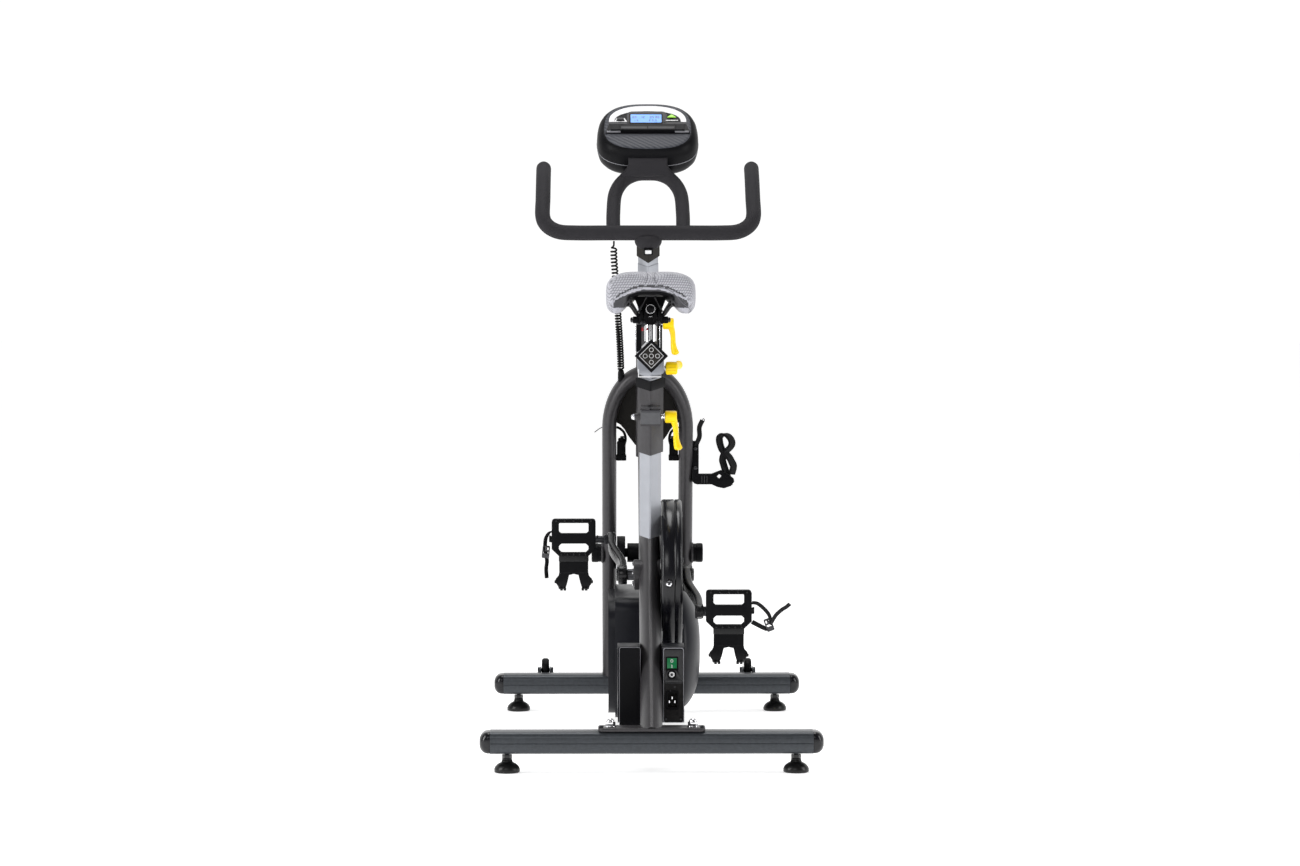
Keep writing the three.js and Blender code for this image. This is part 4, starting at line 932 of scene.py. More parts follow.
def ribbon(path, width, thickness, across):
    """A flat strap along a path, with its width along one fixed direction."""
    rings = []
    across = Vector(across).normalized()
    for i, point in enumerate(path):
        point = Vector(point)
        before = Vector(path[max(0, i - 1)])
        after = Vector(path[min(len(path) - 1, i + 1)])
        tangent = (after - before).normalized()
        wide = (across - tangent * across.dot(tangent)).normalized()
        normal = tangent.cross(wide)
        rings.append([point + wide * (width / 2 * u) + normal * (thickness / 2 * v)
                      for u, v in ((-1, -1), (-1, 1), (1, 1), (1, -1))])
    return loft(rings)


STRAP_STRANDS = {     # loose webbing as (line, width, direction of the width)
    "left": [([(-40, -4, 16), (-47, -6, 12), (-52.5, -7, 3), (-54, -8, -10), (-53, -8, -24),
               (-50.5, -8, -40), (-52, -8, -55), (-51, -9, -73)], 9, (0.65, 0.75, 0.2))],
    "right": [([(42, -4, 16), (52, -6, 14.5), (63, -7, 6), (73, -8, -6), (77, -8, -21)], 8, (0.5, 0.8, 0.5)),
              ([(42, -4, -19), (52, -6, -24), (62, -8, -29), (70, -9, -32)], 10, (0.3, 0.8, 0.6)),
              ([(75, -8, -24), (79, -8, -17), (86, -8, -6), (96, -7, 3), (104, -7, 8), (111, -8, 14)], 9,
               (0.5, 0.75, -0.5))]}
BUCKLES = {"left": ((-52.5, -9, -23), 0.1), "right": ((73, -9, -24), -0.35)}     # place and lean


def make_pedal_strap(hand, side, body, here):
    """A webbing strap over the foot space, from slot to slot, with a buckle and a loose tail outside."""
    drop = math.tan(0.1)
    loop = []
    for angle in (math.pi * share for share in shares(40)):
        y = 13 + 64 * math.sin(angle)
        loop.append((side * 45 * math.cos(angle), y, -drop * (y - 13)))
    start = [(side * 45, -6, 2), (side * 45.4, 4, 1.4)]
    end = [(-side * 45.4, 4, 1.4), (-side * 45, -6, 2)]
    strap = moved(ribbon(start + loop + end, 12, 2.6, (0, 0.1, 1)), here)
    tails = [moved(ribbon(spline(path, 6), width, 2.4, across), here)
             for path, width, across in STRAP_STRANDS[hand]]
    piece(f"{hand}_pedal_webbing", body, join(strap, *tails), WEBBING, [f"pedal_strap_{hand}"],
          bevel=0.4)
    buckle_at, lean = BUCKLES[hand]
    place = here @ at(*buckle_at) @ Matrix.Rotation(lean, 4, "Y")
    buckle = join(
        moved(plate([rounded_rect(7, 12, 2.4, 4), rounded_rect(4.6, 8.6, 1.4, 3)], 3, 0.7), place @ TO_REAR),
        moved(rod(1.6, 14, 0.4, 16), place @ at(-7, 0, 2) @ TO_RIGHT),
        moved(block(-5.6, 5.6, -3.4, -1.6, -11, -3), place),
        moved(block(-2, 2, -4.4, -2, 2, 11), place))
    piece(f"{hand}_strap_buckle", body, buckle, BUCKLE_STEEL, bevel=0.4)


GUARD_BIG = 140
GUARD_SMALL = 46
GUARD_SEAM = 45.3


def make_belt_guard():
    """Two thin shells that meet along the middle of the rim, with a screw boss at the back."""
    shaft = joint_point("shaft_spin")
    gap = Vector((0, shaft.y - CRANK.y, shaft.z - CRANK.z))
    direction = math.atan2(gap.z, gap.y)

    def outline(big, small, steps=60):
        spread = math.acos((big - small) / gap.length)
        points = []
        for share in shares(steps):
            angle = direction + spread + (2 * math.pi - 2 * spread) * share
            points.append((CRANK.y + big * math.cos(angle), CRANK.z + big * math.sin(angle)))
        for share in shares(steps // 3):
            angle = direction - spread + 2 * spread * share
            points.append((shaft.y + small * math.cos(angle), shaft.z + small * math.sin(angle)))
        return points

    def rim(rows):
        return loft([[Vector((x, y, z)) for y, z in outline(GUARD_BIG + inset, GUARD_SMALL + inset)]
                     for x, inset in rows], True)

    def wall(x):
        holes = [circle_at(14, CRANK.y, CRANK.z, 40), circle_at(12, shaft.y, shaft.z, 36)]
        return moved(plate([outline(GUARD_BIG - 4, GUARD_SMALL - 4)] + holes, 3, 0.5),
                     at(x, 0, 0) @ TO_RIGHT)

    seam = GUARD_SEAM
    low, _ = span("belt_guard_inner")
    inner = rim([(low.x, -6), (low.x, -4), (low.x + 1.2, -1.4), (low.x + 4, 0), (seam - 1.8, 0),
                 (seam - 0.4, -1), (seam - 0.4, -3), (low.x + 5, -3.2), (low.x + 3, -6)])
    boss = [(0, 0), (7.8, 0), (7.8, 11), (6.8, 12.4), (3.2, 12.6), (2.6, 10), (0, 10)]
    screw_boss = moved(lathe(boss, 32), at(34, CRANK.y - 134, CRANK.z - 5) @ TO_REAR)
    piece("belt_guard_inner_shell", "frame", join(inner, wall(low.x + 1.5), screw_boss), GLOSS_BLACK,
          ["belt_guard_inner"], sharp=40)
    head = at(34, CRANK.y - 146.2, CRANK.z - 5) @ TO_REAR
    screw = moved(lathe([(2.2, 0), (2.2, 2.4), (2.8, 3.2), (4.4, 3), (5.4, 2), (5.6, 0)], 28, True), head)
    piece("belt_guard_screw", "frame", screw, CHROME)
    socket = moved(lathe([(0, 0), (2.3, 0), (2.3, 1.6), (0, 1.6)], 6), head)
    piece("belt_guard_screw_socket", "frame", socket, DARK_STEEL)
    _, high = span("belt_guard_outer")
    outer = rim([(high.x, -8), (high.x, -5), (high.x - 1.2, -2), (high.x - 4.6, 0), (seam + 1.8, 0),
                 (seam + 0.4, -1), (seam + 0.4, -3), (high.x - 6, -3.2), (high.x - 3, -8)])
    ring = moved(lathe([(15, 0), (22, 0), (24, 1), (24, 2), (22, 3), (17, 3.2), (15, 2.6)], 48, True),
                 at(high.x - 0.6, CRANK.y, CRANK.z) @ TO_RIGHT)
    piece("belt_guard_outer_shell", "frame", join(outer, wall(high.x - 1.5), ring), GLOSS_BLACK,
          ["belt_guard_outer"], sharp=40)
    screws = [moved(lathe([(0, 0), (4.5, 0), (4.5, 1), (3.4, 2), (0, 2.2)], 20),
                    at(high.x, *place) @ TO_RIGHT)
              for place in round_crank(112, 5, 90)]
    piece("belt_guard_side_screws", "frame", join(*screws), DARK_STEEL)


make_cranks()
make_pedals()
make_belt_guard()


# ---------------------------------------------------------------- lower housing

COVER_STEP_X = 64.4
CORNER_Y = 355
CORNER_Z = 63
CORNER_RADIUS = 28.4
HOUSING_TOP_AND_FOOT = 297     # the sum of a bottom corner's height and its top corner's


def make_right_cover():
    """The right housing with its round cover domed instead of stepped, and a strip behind the seam."""
    node = "lower_housing_right"
    rotor = joint_point("rotor_spin")
    shape = bmesh.new()
    shape.from_mesh(frame["nodes"][node].data)
    shape.transform(Matrix.Scale(1 / MM, 4) @ frame["nodes"][node].matrix_world)
    bmesh.ops.remove_doubles(shape, verts=shape.verts, dist=0.01)
    cut = bmesh.ops.bisect_plane(shape, geom=shape.verts[:] + shape.edges[:] + shape.faces[:], dist=0.001,
                                 plane_co=(COVER_STEP_X, 0, 0), plane_no=(1, 0, 0), clear_outer=True)
    edges = [edge for edge in cut["geom_cut"] if isinstance(edge, bmesh.types.BMEdge)]
    bmesh.ops.holes_fill(shape, edges=edges, sides=0)
    profile = [(114, -2), (114, 1), (113, 5), (109.5, 10), (104, 15), (96, 20.5), (86, 25.5), (74, 29.8),
               (60, 33.2), (44, 35.4), (26, 36.6), (0, 37)]
    dome = moved(lathe(profile, 72), at(64, rotor.y, rotor.z) @ TO_RIGHT)
    angles = [math.pi / 2 * share for share in shares(8)]
    corner = [(CORNER_Y + CORNER_RADIUS * math.sin(angle), CORNER_Z - CORNER_RADIUS * math.cos(angle))
              for angle in angles]
    top = [(y, HOUSING_TOP_AND_FOOT - z) for y, z in reversed(corner)]
    strip = sweep([Vector((0, y, z)) for y, z in [(320, 34.6)] + corner + top],
                  [(1.2, 1.1), (-1.2, 1.1), (-1.2, -1.1), (1.2, -1.1)], up=(1, 0, 0))
    piece("housing_seam_strip", "frame", strip, BLACK_PLASTIC)
    piece("housing_right_shell", "frame", join(shape, dome), HOUSING_PLASTIC, [node],
          bevel=1.2, sharp=32)


def make_housing():
    finish_node("lower_housing_left", HOUSING_PLASTIC, 1.2)
    make_right_cover()
    finish_node("switch_panel", PANEL_GREY, 0.6)
    finish_node("power_rocker", GREEN_PLASTIC, 0.5)
    finish_node("breaker_button", WHITE_PLASTIC, 0.5)
    back = span("lower_housing_left")[0].y - 0.4
    x, z = -38.1, 140.3
    # The grey rim showing round the panel cover is a painted highlight on its edge.
    rim = moved(plate([rounded_rect(19.2, 72, 4, 5, x, z)], 1.6, 0.4), at(0, back, 0) @ TO_REAR)
    piece("housing_panel_highlight_rim", "frame", rim, RIM_GREY)
    cover = moved(plate([rounded_rect(18.5, 71.3, 3.4, 5, x, z)], 2.4, 0.8, 3),
                  at(0, back - 0.6, 0) @ TO_REAR)
    piece("housing_panel", "frame", cover, BLACK_PLASTIC)
    make_switch_details()


SWITCH_PANEL_X = 40.5
INLET_AT = (38, 117.4)


def make_switch_details():
    """Bezels, marks, screws and the inlet's pins on the switch panel."""
    front = span("switch_panel")[0].y
    rocker = middle("power_rocker")
    breaker = middle("breaker_button")
    face = front - 0.5

    def on_panel(loops, thickness, bevel, lift=0.0):
        return moved(plate(loops, thickness, bevel), at(0, face - lift, 0) @ TO_REAR)

    edge = on_panel([rounded_rect(18.6, 67.6, 4, 4, SWITCH_PANEL_X, 144),
                     rounded_rect(17.4, 66.4, 3.4, 4, SWITCH_PANEL_X, 144)], 1.6, 0.3)
    piece("switch_panel_edge", "frame", edge, RIM_GREY)
    upper = on_panel([rounded_rect(17.2, 30.5, 2.4, 4, SWITCH_PANEL_X, 179.6),
                      rounded_rect(10.2, 11.2, 1.2, 3, rocker.x, rocker.z),
                      circle_at(6.4, breaker.x, breaker.z)], 1.4, 0.4)
    piece("switch_gloss_plate", "frame", upper, GLOSS_BLACK)
    divider = on_panel([rounded_rect(16.8, 0.5, 0.3, 1, SWITCH_PANEL_X, 148)], 1.0, 0.2)
    piece("switch_divider", "frame", divider, DARK_STEEL)
    bezel = on_panel([rounded_rect(11.6, 12.6, 2, 4, rocker.x, rocker.z),
                      rounded_rect(9.8, 10.4, 1, 3, rocker.x, rocker.z)],
                     2.4, 0.6, 0.6)
    nut = on_panel([circle_at(8.2, breaker.x, breaker.z), circle_at(5.7, breaker.x, breaker.z)],
                   2.2, 0.6, 0.5)
    frame_ring = on_panel([rounded_rect(11.6, 17.4, 2.4, 4, *INLET_AT),
                           rounded_rect(8.4, 14, 1.6, 3, *INLET_AT)],
                          1.8, 0.5, 0.3)
    piece("switch_bezels", "frame", join(bezel, nut, frame_ring), BLACK_PLASTIC)
    screws = []
    for x, z, radius in ((25.4, 152.5, 1.6), (55.4, 152.5, 1.6), (42.6, 141, 1.8), (35, 134, 1.5),
                         (27, 83, 2), (54, 83, 2)):
        screws.append(moved(lathe([(0, 0), (radius, 0), (radius, 0.7), (radius * 0.5, 1.1), (0, 0.8)], 18),
                            at(x, face - 0.3, z) @ TO_REAR))
    piece("switch_screws", "frame", join(*screws), DARK_STEEL)
    pins = [moved(block(x - 1, x + 1, 0, 9, z - 2.4, z + 2.4), at(0, front + 2, 0))
            for x, z in ((33, 114), (43, 114), (38, 121))]
    piece("inlet_pins", "frame", join(*pins), CHROME, bevel=0.3)

    tilt = Matrix.Rotation(math.radians(-6), 4, "X")
    tip = at(rocker.x, span("power_rocker")[0].y + 0.2, rocker.z)
    ring = moved(plate([[(x * 0.8, z) for x, z in circle(3, 24)],
                        [(x * 0.72, z) for x, z in circle(2.1, 24)]], 0.7, 0.1, 1),
                 tip @ at(0, 0.9, 4.8) @ tilt @ TO_REAR)
    bar = moved(plate([rounded_rect(0.6, 2.8, 0.3, 2)], 0.7, 0.1, 1),
                tip @ at(0, 0.1, -4.8) @ tilt @ TO_REAR)
    piece("rocker_marks", "rocker", join(ring, bar), WHITE_PLASTIC)
    cap = moved(plate([circle_at(2.6, breaker.x, breaker.z)], 0.6, 0.2),
                at(0, span("breaker_button")[0].y - 0.1, 0) @ TO_REAR)
    piece("breaker_mark", "breaker", cap, GREY_PLASTIC)


make_housing()


# ---------------------------------------------------------------- seat

def make_levers():
    """Clamp levers: a round hub with a tapered arm that leans outwards."""
    arms = (("seat_height_lever", "seat_height_lever_turn", "seat_height_clamp", -90, 6.9),
            ("seat_slide_lever", "seat_slide_lever_turn", "seat_slide_clamp", 4, 2.2),
            ("handlebar_lever", "handlebar_lever_turn", "handlebar_clamp", -90, 2))
    for node, joint, body, turn, pin in arms:
        place = joint_point(joint)
        here = at(*place)
        hub = [(0, 0.4), (9.6, 0.4), (10.8, 1.6), (11, 3), (11, 19), (10.6, 20.6), (9.4, 21.8), (6, 22),
               (5.4, 21.2), (0, 21.2)]
        ribs = 12 if node == "seat_slide_lever" else 0
        turns = [Matrix.Rotation(2 * math.pi * k / ribs, 4, "Z") for k in range(ribs)]
        rib_shapes = [moved(block(-1.1, 1.1, 10, 11.7, 2.5, 19), here @ TO_RIGHT @ turn) for turn in turns]
        hub_shape = join(moved(lathe(hub, 40), here @ TO_RIGHT), *rib_shapes)
        lean = Matrix.Rotation(-0.2, 4, "Z")
        local = here @ at(14, 0, 0) @ Matrix.Rotation(math.radians(turn), 4, "X") @ lean
        rings = []
        for t in shares(28):
            along = 2 + 60 * t
            tip = math.sqrt(max(0.05, 1 - max(0, (t - 0.93) / 0.07) ** 2))
            waist = 1 - 0.34 * math.sin(math.pi * min(1, t / 0.9)) ** 0.8
            wide = 8.2 * waist * tip
            thick = 7.0 * (waist + 0.05) * tip
            sway = 1.6 * math.sin(2 * math.pi * t)
            rings.append([local @ Vector((sway + thick * u, along, wide * v)) for u, v in circle(1, 20)])
        piece(f"{node}_handle", body, join(hub_shape, loft(rings)), LEVER_YELLOW, [node],
              sharp=50)
        core = join(
            moved(rod(4.4, pin + 1, 0.4, 24), here @ at(-pin, 0, 0) @ TO_RIGHT),
            moved(rod(7, 1.4, 0.3, 24), here @ at(-1.2, 0, 0) @ TO_RIGHT))
        piece(f"{node}_pin", body, core, CHROME)
        cap = moved(rod(5.2, 1.6, 0.5, 24), here @ at(20.4, 0, 0) @ TO_RIGHT)
        piece(f"{node}_screw", body, cap, DARK_STEEL)


def make_seat_mast():
    finish_node("seat_post", SILVER_PAINT, 1.6)
    finish_node("seat_cradle", CAST_METAL, 1.2)
    finish_node("seat_slider", SILVER_PAINT, 0.7)
    centre = middle("slider_end_cap")
    here = at(centre.x, span("slider_end_cap")[1].y, centre.z) @ TO_REAR
    cap = moved(plate([diamond(30.0, 1, 3)], 6, 0.3, 2), here @ at(0, 0, 3))
    piece("slider_cap_plate", "saddle", cap, BLACK_PLASTIC, ["slider_end_cap"])
    field = moved(plate([diamond(21, 1, 3)], 0.4, 0.1, 1), here @ at(0, 0, 6.1))
    piece("slider_cap_field", "saddle", field, SHIELD_PLASTIC)
    marks = [moved(plate([diamond(22.6, 1.2, 3), diamond(20.9, 1, 3)], 0.8, 0.12, 1), here @ at(0, 0, 6.2))]
    for x, z in ((0, 0), (11, 0), (-11, 0), (0, 11), (0, -11)):
        marks.append(moved(plate([circle(4.2, 28), circle(3.1, 28)], 0.8, 0.12, 1), here @ at(x, z, 6.2)))
    piece("slider_cap_marks", "saddle", join(*marks), PALE_MARK)

    face_y = span("seat_cradle")[0].y - 0.9
    trim = join(
        moved(plate([rounded_rect(20, 0.9, 0.4, 2, -1.5, 698)], 1.6, 0.3, 1), at(0, face_y, 0) @ TO_REAR),
        moved(plate([rounded_rect(0.9, 7.5, 0.4, 2, -22, 704.6)], 1.6, 0.3, 1), at(0, face_y, 0) @ TO_REAR))
    piece("cradle_trim", "seat_mast", trim, WHITE_PLASTIC)


SADDLE_POST_Y = -300
SADDLE_Y = middle("saddle_cushion").y
SADDLE_LENGTH = 265
SADDLE_HALF_LENGTH = SADDLE_LENGTH / 2
NOSE_Y = SADDLE_Y + SADDLE_HALF_LENGTH
TAIL_Y = SADDLE_Y - SADDLE_HALF_LENGTH


def make_saddle_clamp():
    """The post's clamp head: a ring over the bolt, struts and rails up to the shell, knobs and nuts."""
    y = SADDLE_POST_Y
    stub = moved(lathe([(0, 0), (11, 0), (11, 30), (12.5, 31), (12.5, 38), (11, 39), (0, 39)], 40),
                 at(0, y, middle("seat_slider").z + 22))
    piece("saddle_stub", "saddle", stub, CHROME, ["saddle_clamp"], sharp=50)

    cheek = rounded_rect(17, 13, 6, 6, y, 806)
    cheeks = [moved(plate([cheek], 7, 1.5), at(x, 0, 0) @ TO_RIGHT) for x in (-17, -8.5, 8.5, 17)]
    saddle_block = moved(plate([rounded_rect(24, 7.5, 3, 4)], 30, 1.5), at(0, y, 800) @ TO_REAR)
    neck = moved(lathe([(0, 0), (14, 0), (15.5, 2), (15.5, 12), (13, 15), (0, 15)], 36), at(0, y, 791))
    piece("saddle_clamp_head", "saddle", join(*cheeks, saddle_block, neck), BLACK_PLASTIC,
          bevel=0.5)
    fan = [(30, 842), (16, 806), (-16, 806), (-30, 842)]
    gusset = moved(plate([fan], 3, 0.8), at(0, y + 6, 0) @ TO_REAR)
    piece("saddle_gusset", "saddle", gusset, BLACK_PLASTIC)
    walls = [block(x0, x1, y - 30, y - 26, 742, 792) for x0, x1 in ((-26, -16.5), (12.5, 21))]
    piece("saddle_side_plates", "saddle", join(*walls), BLACK_PLASTIC, bevel=0.6)
    strips = [moved(rod(0.9, 46, 0.3, 12), at(x, y - 31, 744)) for x in (-27.4, 16.5)]
    piece("saddle_side_rods", "saddle", join(*strips), CHROME)
    front = y - 18
    # The dark plug filling the ring's hole is painted shade.
    painted_hole_shade = moved(rod(8, 10, 0.5), at(0, front + 9, 820) @ TO_REAR)
    core = moved(rod(4.8, 9, 0.8), at(0, front - 1.4, 820) @ TO_REAR)
    piece("saddle_bolt_core", "saddle", join(painted_hole_shade, core), DARK_MARK)
    ring = moved(lathe([(7.1, -2), (8.6, -2), (9.2, -1.2), (9.2, 1.2), (8.6, 2), (7.1, 2)], 40, True),
                 at(0, front - 1, 820) @ TO_REAR)
    shine_mark = moved(block(-3.2, 3.2, -0.7, 0.7, 0, 0.8), at(0, front, 806.2) @ TO_REAR)
    piece("saddle_bolt_ring", "saddle", join(ring, shine_mark), CHROME, bevel=0.2)

    knobs, nuts = [], []
    knob_at = Vector((0, y - 10, 800))
    for side in SIDES:
        knobs.append(moved(lathe([(0, 0), (5.6, 0), (6.4, 0.8), (6.4, 9), (5.2, 10.6), (0, 11)], 28),
                           outward(side, 22, knob_at)))
        nuts.append(moved(hex_nut(10, 5, 2.5), at(side * 13.6, front + 1, 793.6) @ TO_REAR))
        nuts.append(moved(hex_nut(9, 3, 1.5), outward(side, 33, knob_at)))
    piece("saddle_clamp_knobs", "saddle", join(*knobs), BLACK_PLASTIC, bevel=0.4)
    piece("saddle_clamp_nuts", "saddle", join(*nuts), DARK_STEEL)
    plug = moved(lathe([(0, 0), (2.6, 0), (2.8, 0.5), (2.4, 6), (0, 6.4)], 20), at(-15.5, front + 4, 780))
    piece("saddle_plug", "saddle", plug, RED_MARK)

    struts = []
    for side in SIDES:
        struts.append(wire([(side * 37, y - 26, 834), (side * 33, y - 22, 828), (side * 26, y - 16, 816),
                            (side * 20, y - 10, 805)], 2.7))
        struts.append(sweep([(side * 8, y - 22, 842), (side * 14, y - 19, 829), (side * 21, y - 14, 815)],
                            circle(2.2, 14)))
        route = [(side * 42, SADDLE_Y - 98, 830), (side * 35, SADDLE_Y - 80, 825),
                 (side * 26, SADDLE_Y - 54, 812), (side * 19, SADDLE_Y - 24, 807),
                 (side * 19, SADDLE_Y + 20, 809), (side * 15, SADDLE_Y + 60, 822),
                 (side * 8, SADDLE_Y + 96, 830)]
        struts.append(wire(route, 3.4, 8, 18))
    piece("saddle_rails", "saddle", join(*struts), CRANK_PAINT)

    pads = []
    for side in SIDES:
        pads.append(moved(plate([rounded_rect(13, 8, 4, 5)], 12, 3, 3),
                          at(side * 50, SADDLE_Y - 92, 833) @ TO_REAR))
        pads.append(moved(rod(3.2, 5, 1), at(side * 56, SADDLE_Y - 100, 838) @ TO_REAR))
    piece("saddle_inner_pads", "saddle", join(*pads), SADDLE_PAD_AND_SHADE, bevel=0.6)


def saddle_station(t):
    """Half width, crown, rim and wing depths from the nose (0) to the tail (1)."""
    tail = smooth(0.3, 0.8, t)
    nose = math.sqrt(max(0, 1 - (1 - min(t / 0.12, 1)) ** 2))
    rounding = math.sqrt(max(0, 1 - max(0, (t - 0.9) / 0.1) ** 2))
    return {
        "half": (25 + 58.5 * tail) * (0.35 + 0.65 * nose) * (0.84 + 0.16 * rounding),
        "crown": 873 + 17.5 * tail - 6 * (1 - nose) - 5 * (1 - rounding),
        "middle": 846 + 7 * tail,
        "wing": 3 + 42 * smooth(0.42, 0.72, t) - 44 * smooth(0.84, 1, t),
        "arch": 2 + 28 * smooth(0.84, 1, t),
        "notch": 13 * smooth(0.3, 0.72, t),
    }


def saddle_heights(station, x):
    share = min(1, abs(x) / station["half"])
    top = station["crown"] - 6 * share ** 4 - station["notch"] * math.exp(-(x / 13) ** 2)
    under = station["middle"] - station["arch"] * share ** 2.4 - station["wing"] * smooth(0.3, 0.8, share)
    return top, under


def saddle_blank(shrink, stations=54, around=96):
    """The cushion before it is blown up, a little smaller than its final size all round."""
    rings = []
    squareness = 0.48
    for t in shares(stations):
        station = saddle_station(min(0.985, max(0.015, t)))
        y = SADDLE_Y + (SADDLE_HALF_LENGTH - shrink) * (1 - 2 * t)
        ring = []
        for i in range(around):
            angle = 2 * math.pi * (i + 0.5) / around
            u = bulged(math.cos(angle), squareness)
            v = bulged(math.sin(angle), squareness)
            top, under = saddle_heights(station, station["half"] * u)
            half = (top - shrink - under) / 2
            ring.append(Vector(((station["half"] - shrink) * u, y, (top - shrink + under) / 2 + half * v)))
        rings.append(ring)
    return loft(rings)


def inflate(made, pressure, frames, cap):
    """Blows a closed mesh up as cloth, then keeps what it became, moved no further than the cap."""
    start = [vertex.co.copy() for vertex in made.data.vertices]
    held = made.vertex_groups.new(name="held")
    floor = min(v.z for v in start)
    for index, v in enumerate(start):
        _, under = saddle_heights(saddle_station(min(0.985, (NOSE_Y - v.y / MM) / SADDLE_LENGTH)), v.x / MM)
        near_base = v.z / MM - under < 8
        held.add([index], 1.0 if near_base or v.z < floor + 0.002 else 0.0, "REPLACE")
    cloth = made.modifiers.new("cloth", "CLOTH")
    settings = cloth.settings
    settings.use_pressure = True
    settings.uniform_pressure_force = pressure
    settings.effector_weights.gravity = 0
    settings.tension_stiffness = 25
    settings.compression_stiffness = 25
    settings.shear_stiffness = 12
    settings.bending_stiffness = 2
    settings.mass = 0.3
    settings.vertex_group_mass = "held"
    cloth.collision_settings.use_collision = False
    scene = bpy.context.scene
    for step in range(1, frames + 1):
        scene.frame_set(step)
    blown = made.evaluated_get(bpy.context.evaluated_depsgraph_get())
    places = [vertex.co.copy() for vertex in blown.data.vertices]
    made.modifiers.remove(cloth)
    scene.frame_set(1)
    for vertex, before, after in zip(made.data.vertices, start, places):
        step = after - before
        if step.length > cap * MM:
            step *= cap * MM / step.length
        vertex.co = before + step
    made.vertex_groups.clear()


BAND_HEIGHT = 7
BAND_SEAM_HEIGHT = 7.5


def station_at(y):
    """The station at a place along the bike, kept a little inside the cushion's ends."""
    return saddle_station(min(0.985, max(0.015, (NOSE_Y - y) / SADDLE_LENGTH)))


def from_centre_seams(x, y, z):
    """The distance to the nearer of the two seams beside the notch."""
    along = (y - TAIL_Y) / SADDLE_LENGTH
    drop = smooth(0, 1, (884 - z) / 32) if y < TAIL_Y + 14 else 0
    half = 5.5 + 7.5 * drop + 5 * smooth(0.02, 0.3, along) * (1 - smooth(0.6, 1, along))
    return abs(abs(x) - half)


def from_band_seam(x, y, z):
    """How far above or below the seam round the rim a point lies."""
    _, under = saddle_heights(station_at(y), x)
    return abs(z - under - BAND_SEAM_HEIGHT)


def make_saddle_shell():
    """The stiff base, seen in the hollow between the cushion's wings."""
    rings = []
    across = 15
    for t in (0.04 + 0.93 * share for share in shares(30)):
        station = saddle_station(t)
        reach = station["half"] * (0.8 - 0.26 * smooth(0.35, 0.75, t)) - 4
        xs = [reach * math.sin(math.pi * (i / (across - 1) - 0.5)) for i in range(across)]
        y = SADDLE_Y + SADDLE_HALF_LENGTH * (1 - 2 * t)
        upper = [Vector((x, y, saddle_heights(station, x)[1] - 0.3)) for x in xs]
        lower = [Vector((x, y, saddle_heights(station, x)[1] - 5)) for x in reversed(xs)]
        rings.append(upper + lower)
    piece("saddle_base", "saddle", loft(rings), BLACK_PLASTIC, ["saddle_shell"], sharp=50)


def make_saddle():
    make_saddle_shell()
    made = piece("saddle_pad", "saddle", saddle_blank(2.5), SADDLE_VINYL, ["saddle_cushion"],
                 sharp=180)
    settle(made, "REMESH", mode="VOXEL", voxel_size=0.005)
    inflate(made, pressure=4, frames=20, cap=5)
    settle(made, "SMOOTH", factor=0.5, iterations=2)
    settle(made, "SUBSURF", levels=1)
    press_seams(made)
    mesh = made.data
    mesh.materials.append(SADDLE_BAND)
    mesh.materials.append(SADDLE_PAD_AND_SHADE)
    lowest = min(vertex.co.z for vertex in mesh.vertices) / MM
    for polygon in mesh.polygons:
        x, y, z = polygon.center / MM
        station = station_at(y)
        _, under = saddle_heights(station, x)
        # Faces turned downward, in from the edge, take the dark pad finish: painted shade under the wings
        # and tail.
        if polygon.normal.z < -0.3 and abs(x) < station["half"] * 0.82 and z > lowest + 11:
            polygon.material_index = 2
        elif z < under + BAND_HEIGHT:
            polygon.material_index = 1
    mesh.polygons.foreach_set("use_smooth", [True] * len(mesh.polygons))
    make_stitches(made)


def settle(made, kind, **settings):
    """Adds a modifier and keeps its result as the mesh."""
    modifier = made.modifiers.new(kind.lower(), kind)
    for name, value in settings.items():
        setattr(modifier, name, value)
    bpy.context.view_layer.update()
    done = made.evaluated_get(bpy.context.evaluated_depsgraph_get())
    mesh = bpy.data.meshes.new_from_object(done)
    made.modifiers.remove(modifier)
    finish = made.data.materials[0] if made.data.materials else None
    made.data = mesh
    if finish and not mesh.materials:
        mesh.materials.append(finish)


GROOVE_DEPTH = 1.7
GROOVE_WIDTH = 2.7


def press_seams(made):
    """Sinks the cover along its seams."""
    mesh = made.data
    normals = [vertex.normal.copy() for vertex in mesh.vertices]
    for vertex, normal in zip(mesh.vertices, normals):
        x, y, z = vertex.co / MM
        sink = 0.0
        if normal.z > 0.1 or normal.y < -0.5:
            sink = math.exp(-(from_centre_seams(x, y, z) / GROOVE_WIDTH) ** 2)
        if normal.z > -0.6:
            sink = max(sink, math.exp(-(from_band_seam(x, y, z) / GROOVE_WIDTH) ** 2))
        vertex.co -= normal * (GROOVE_DEPTH * sink * MM)


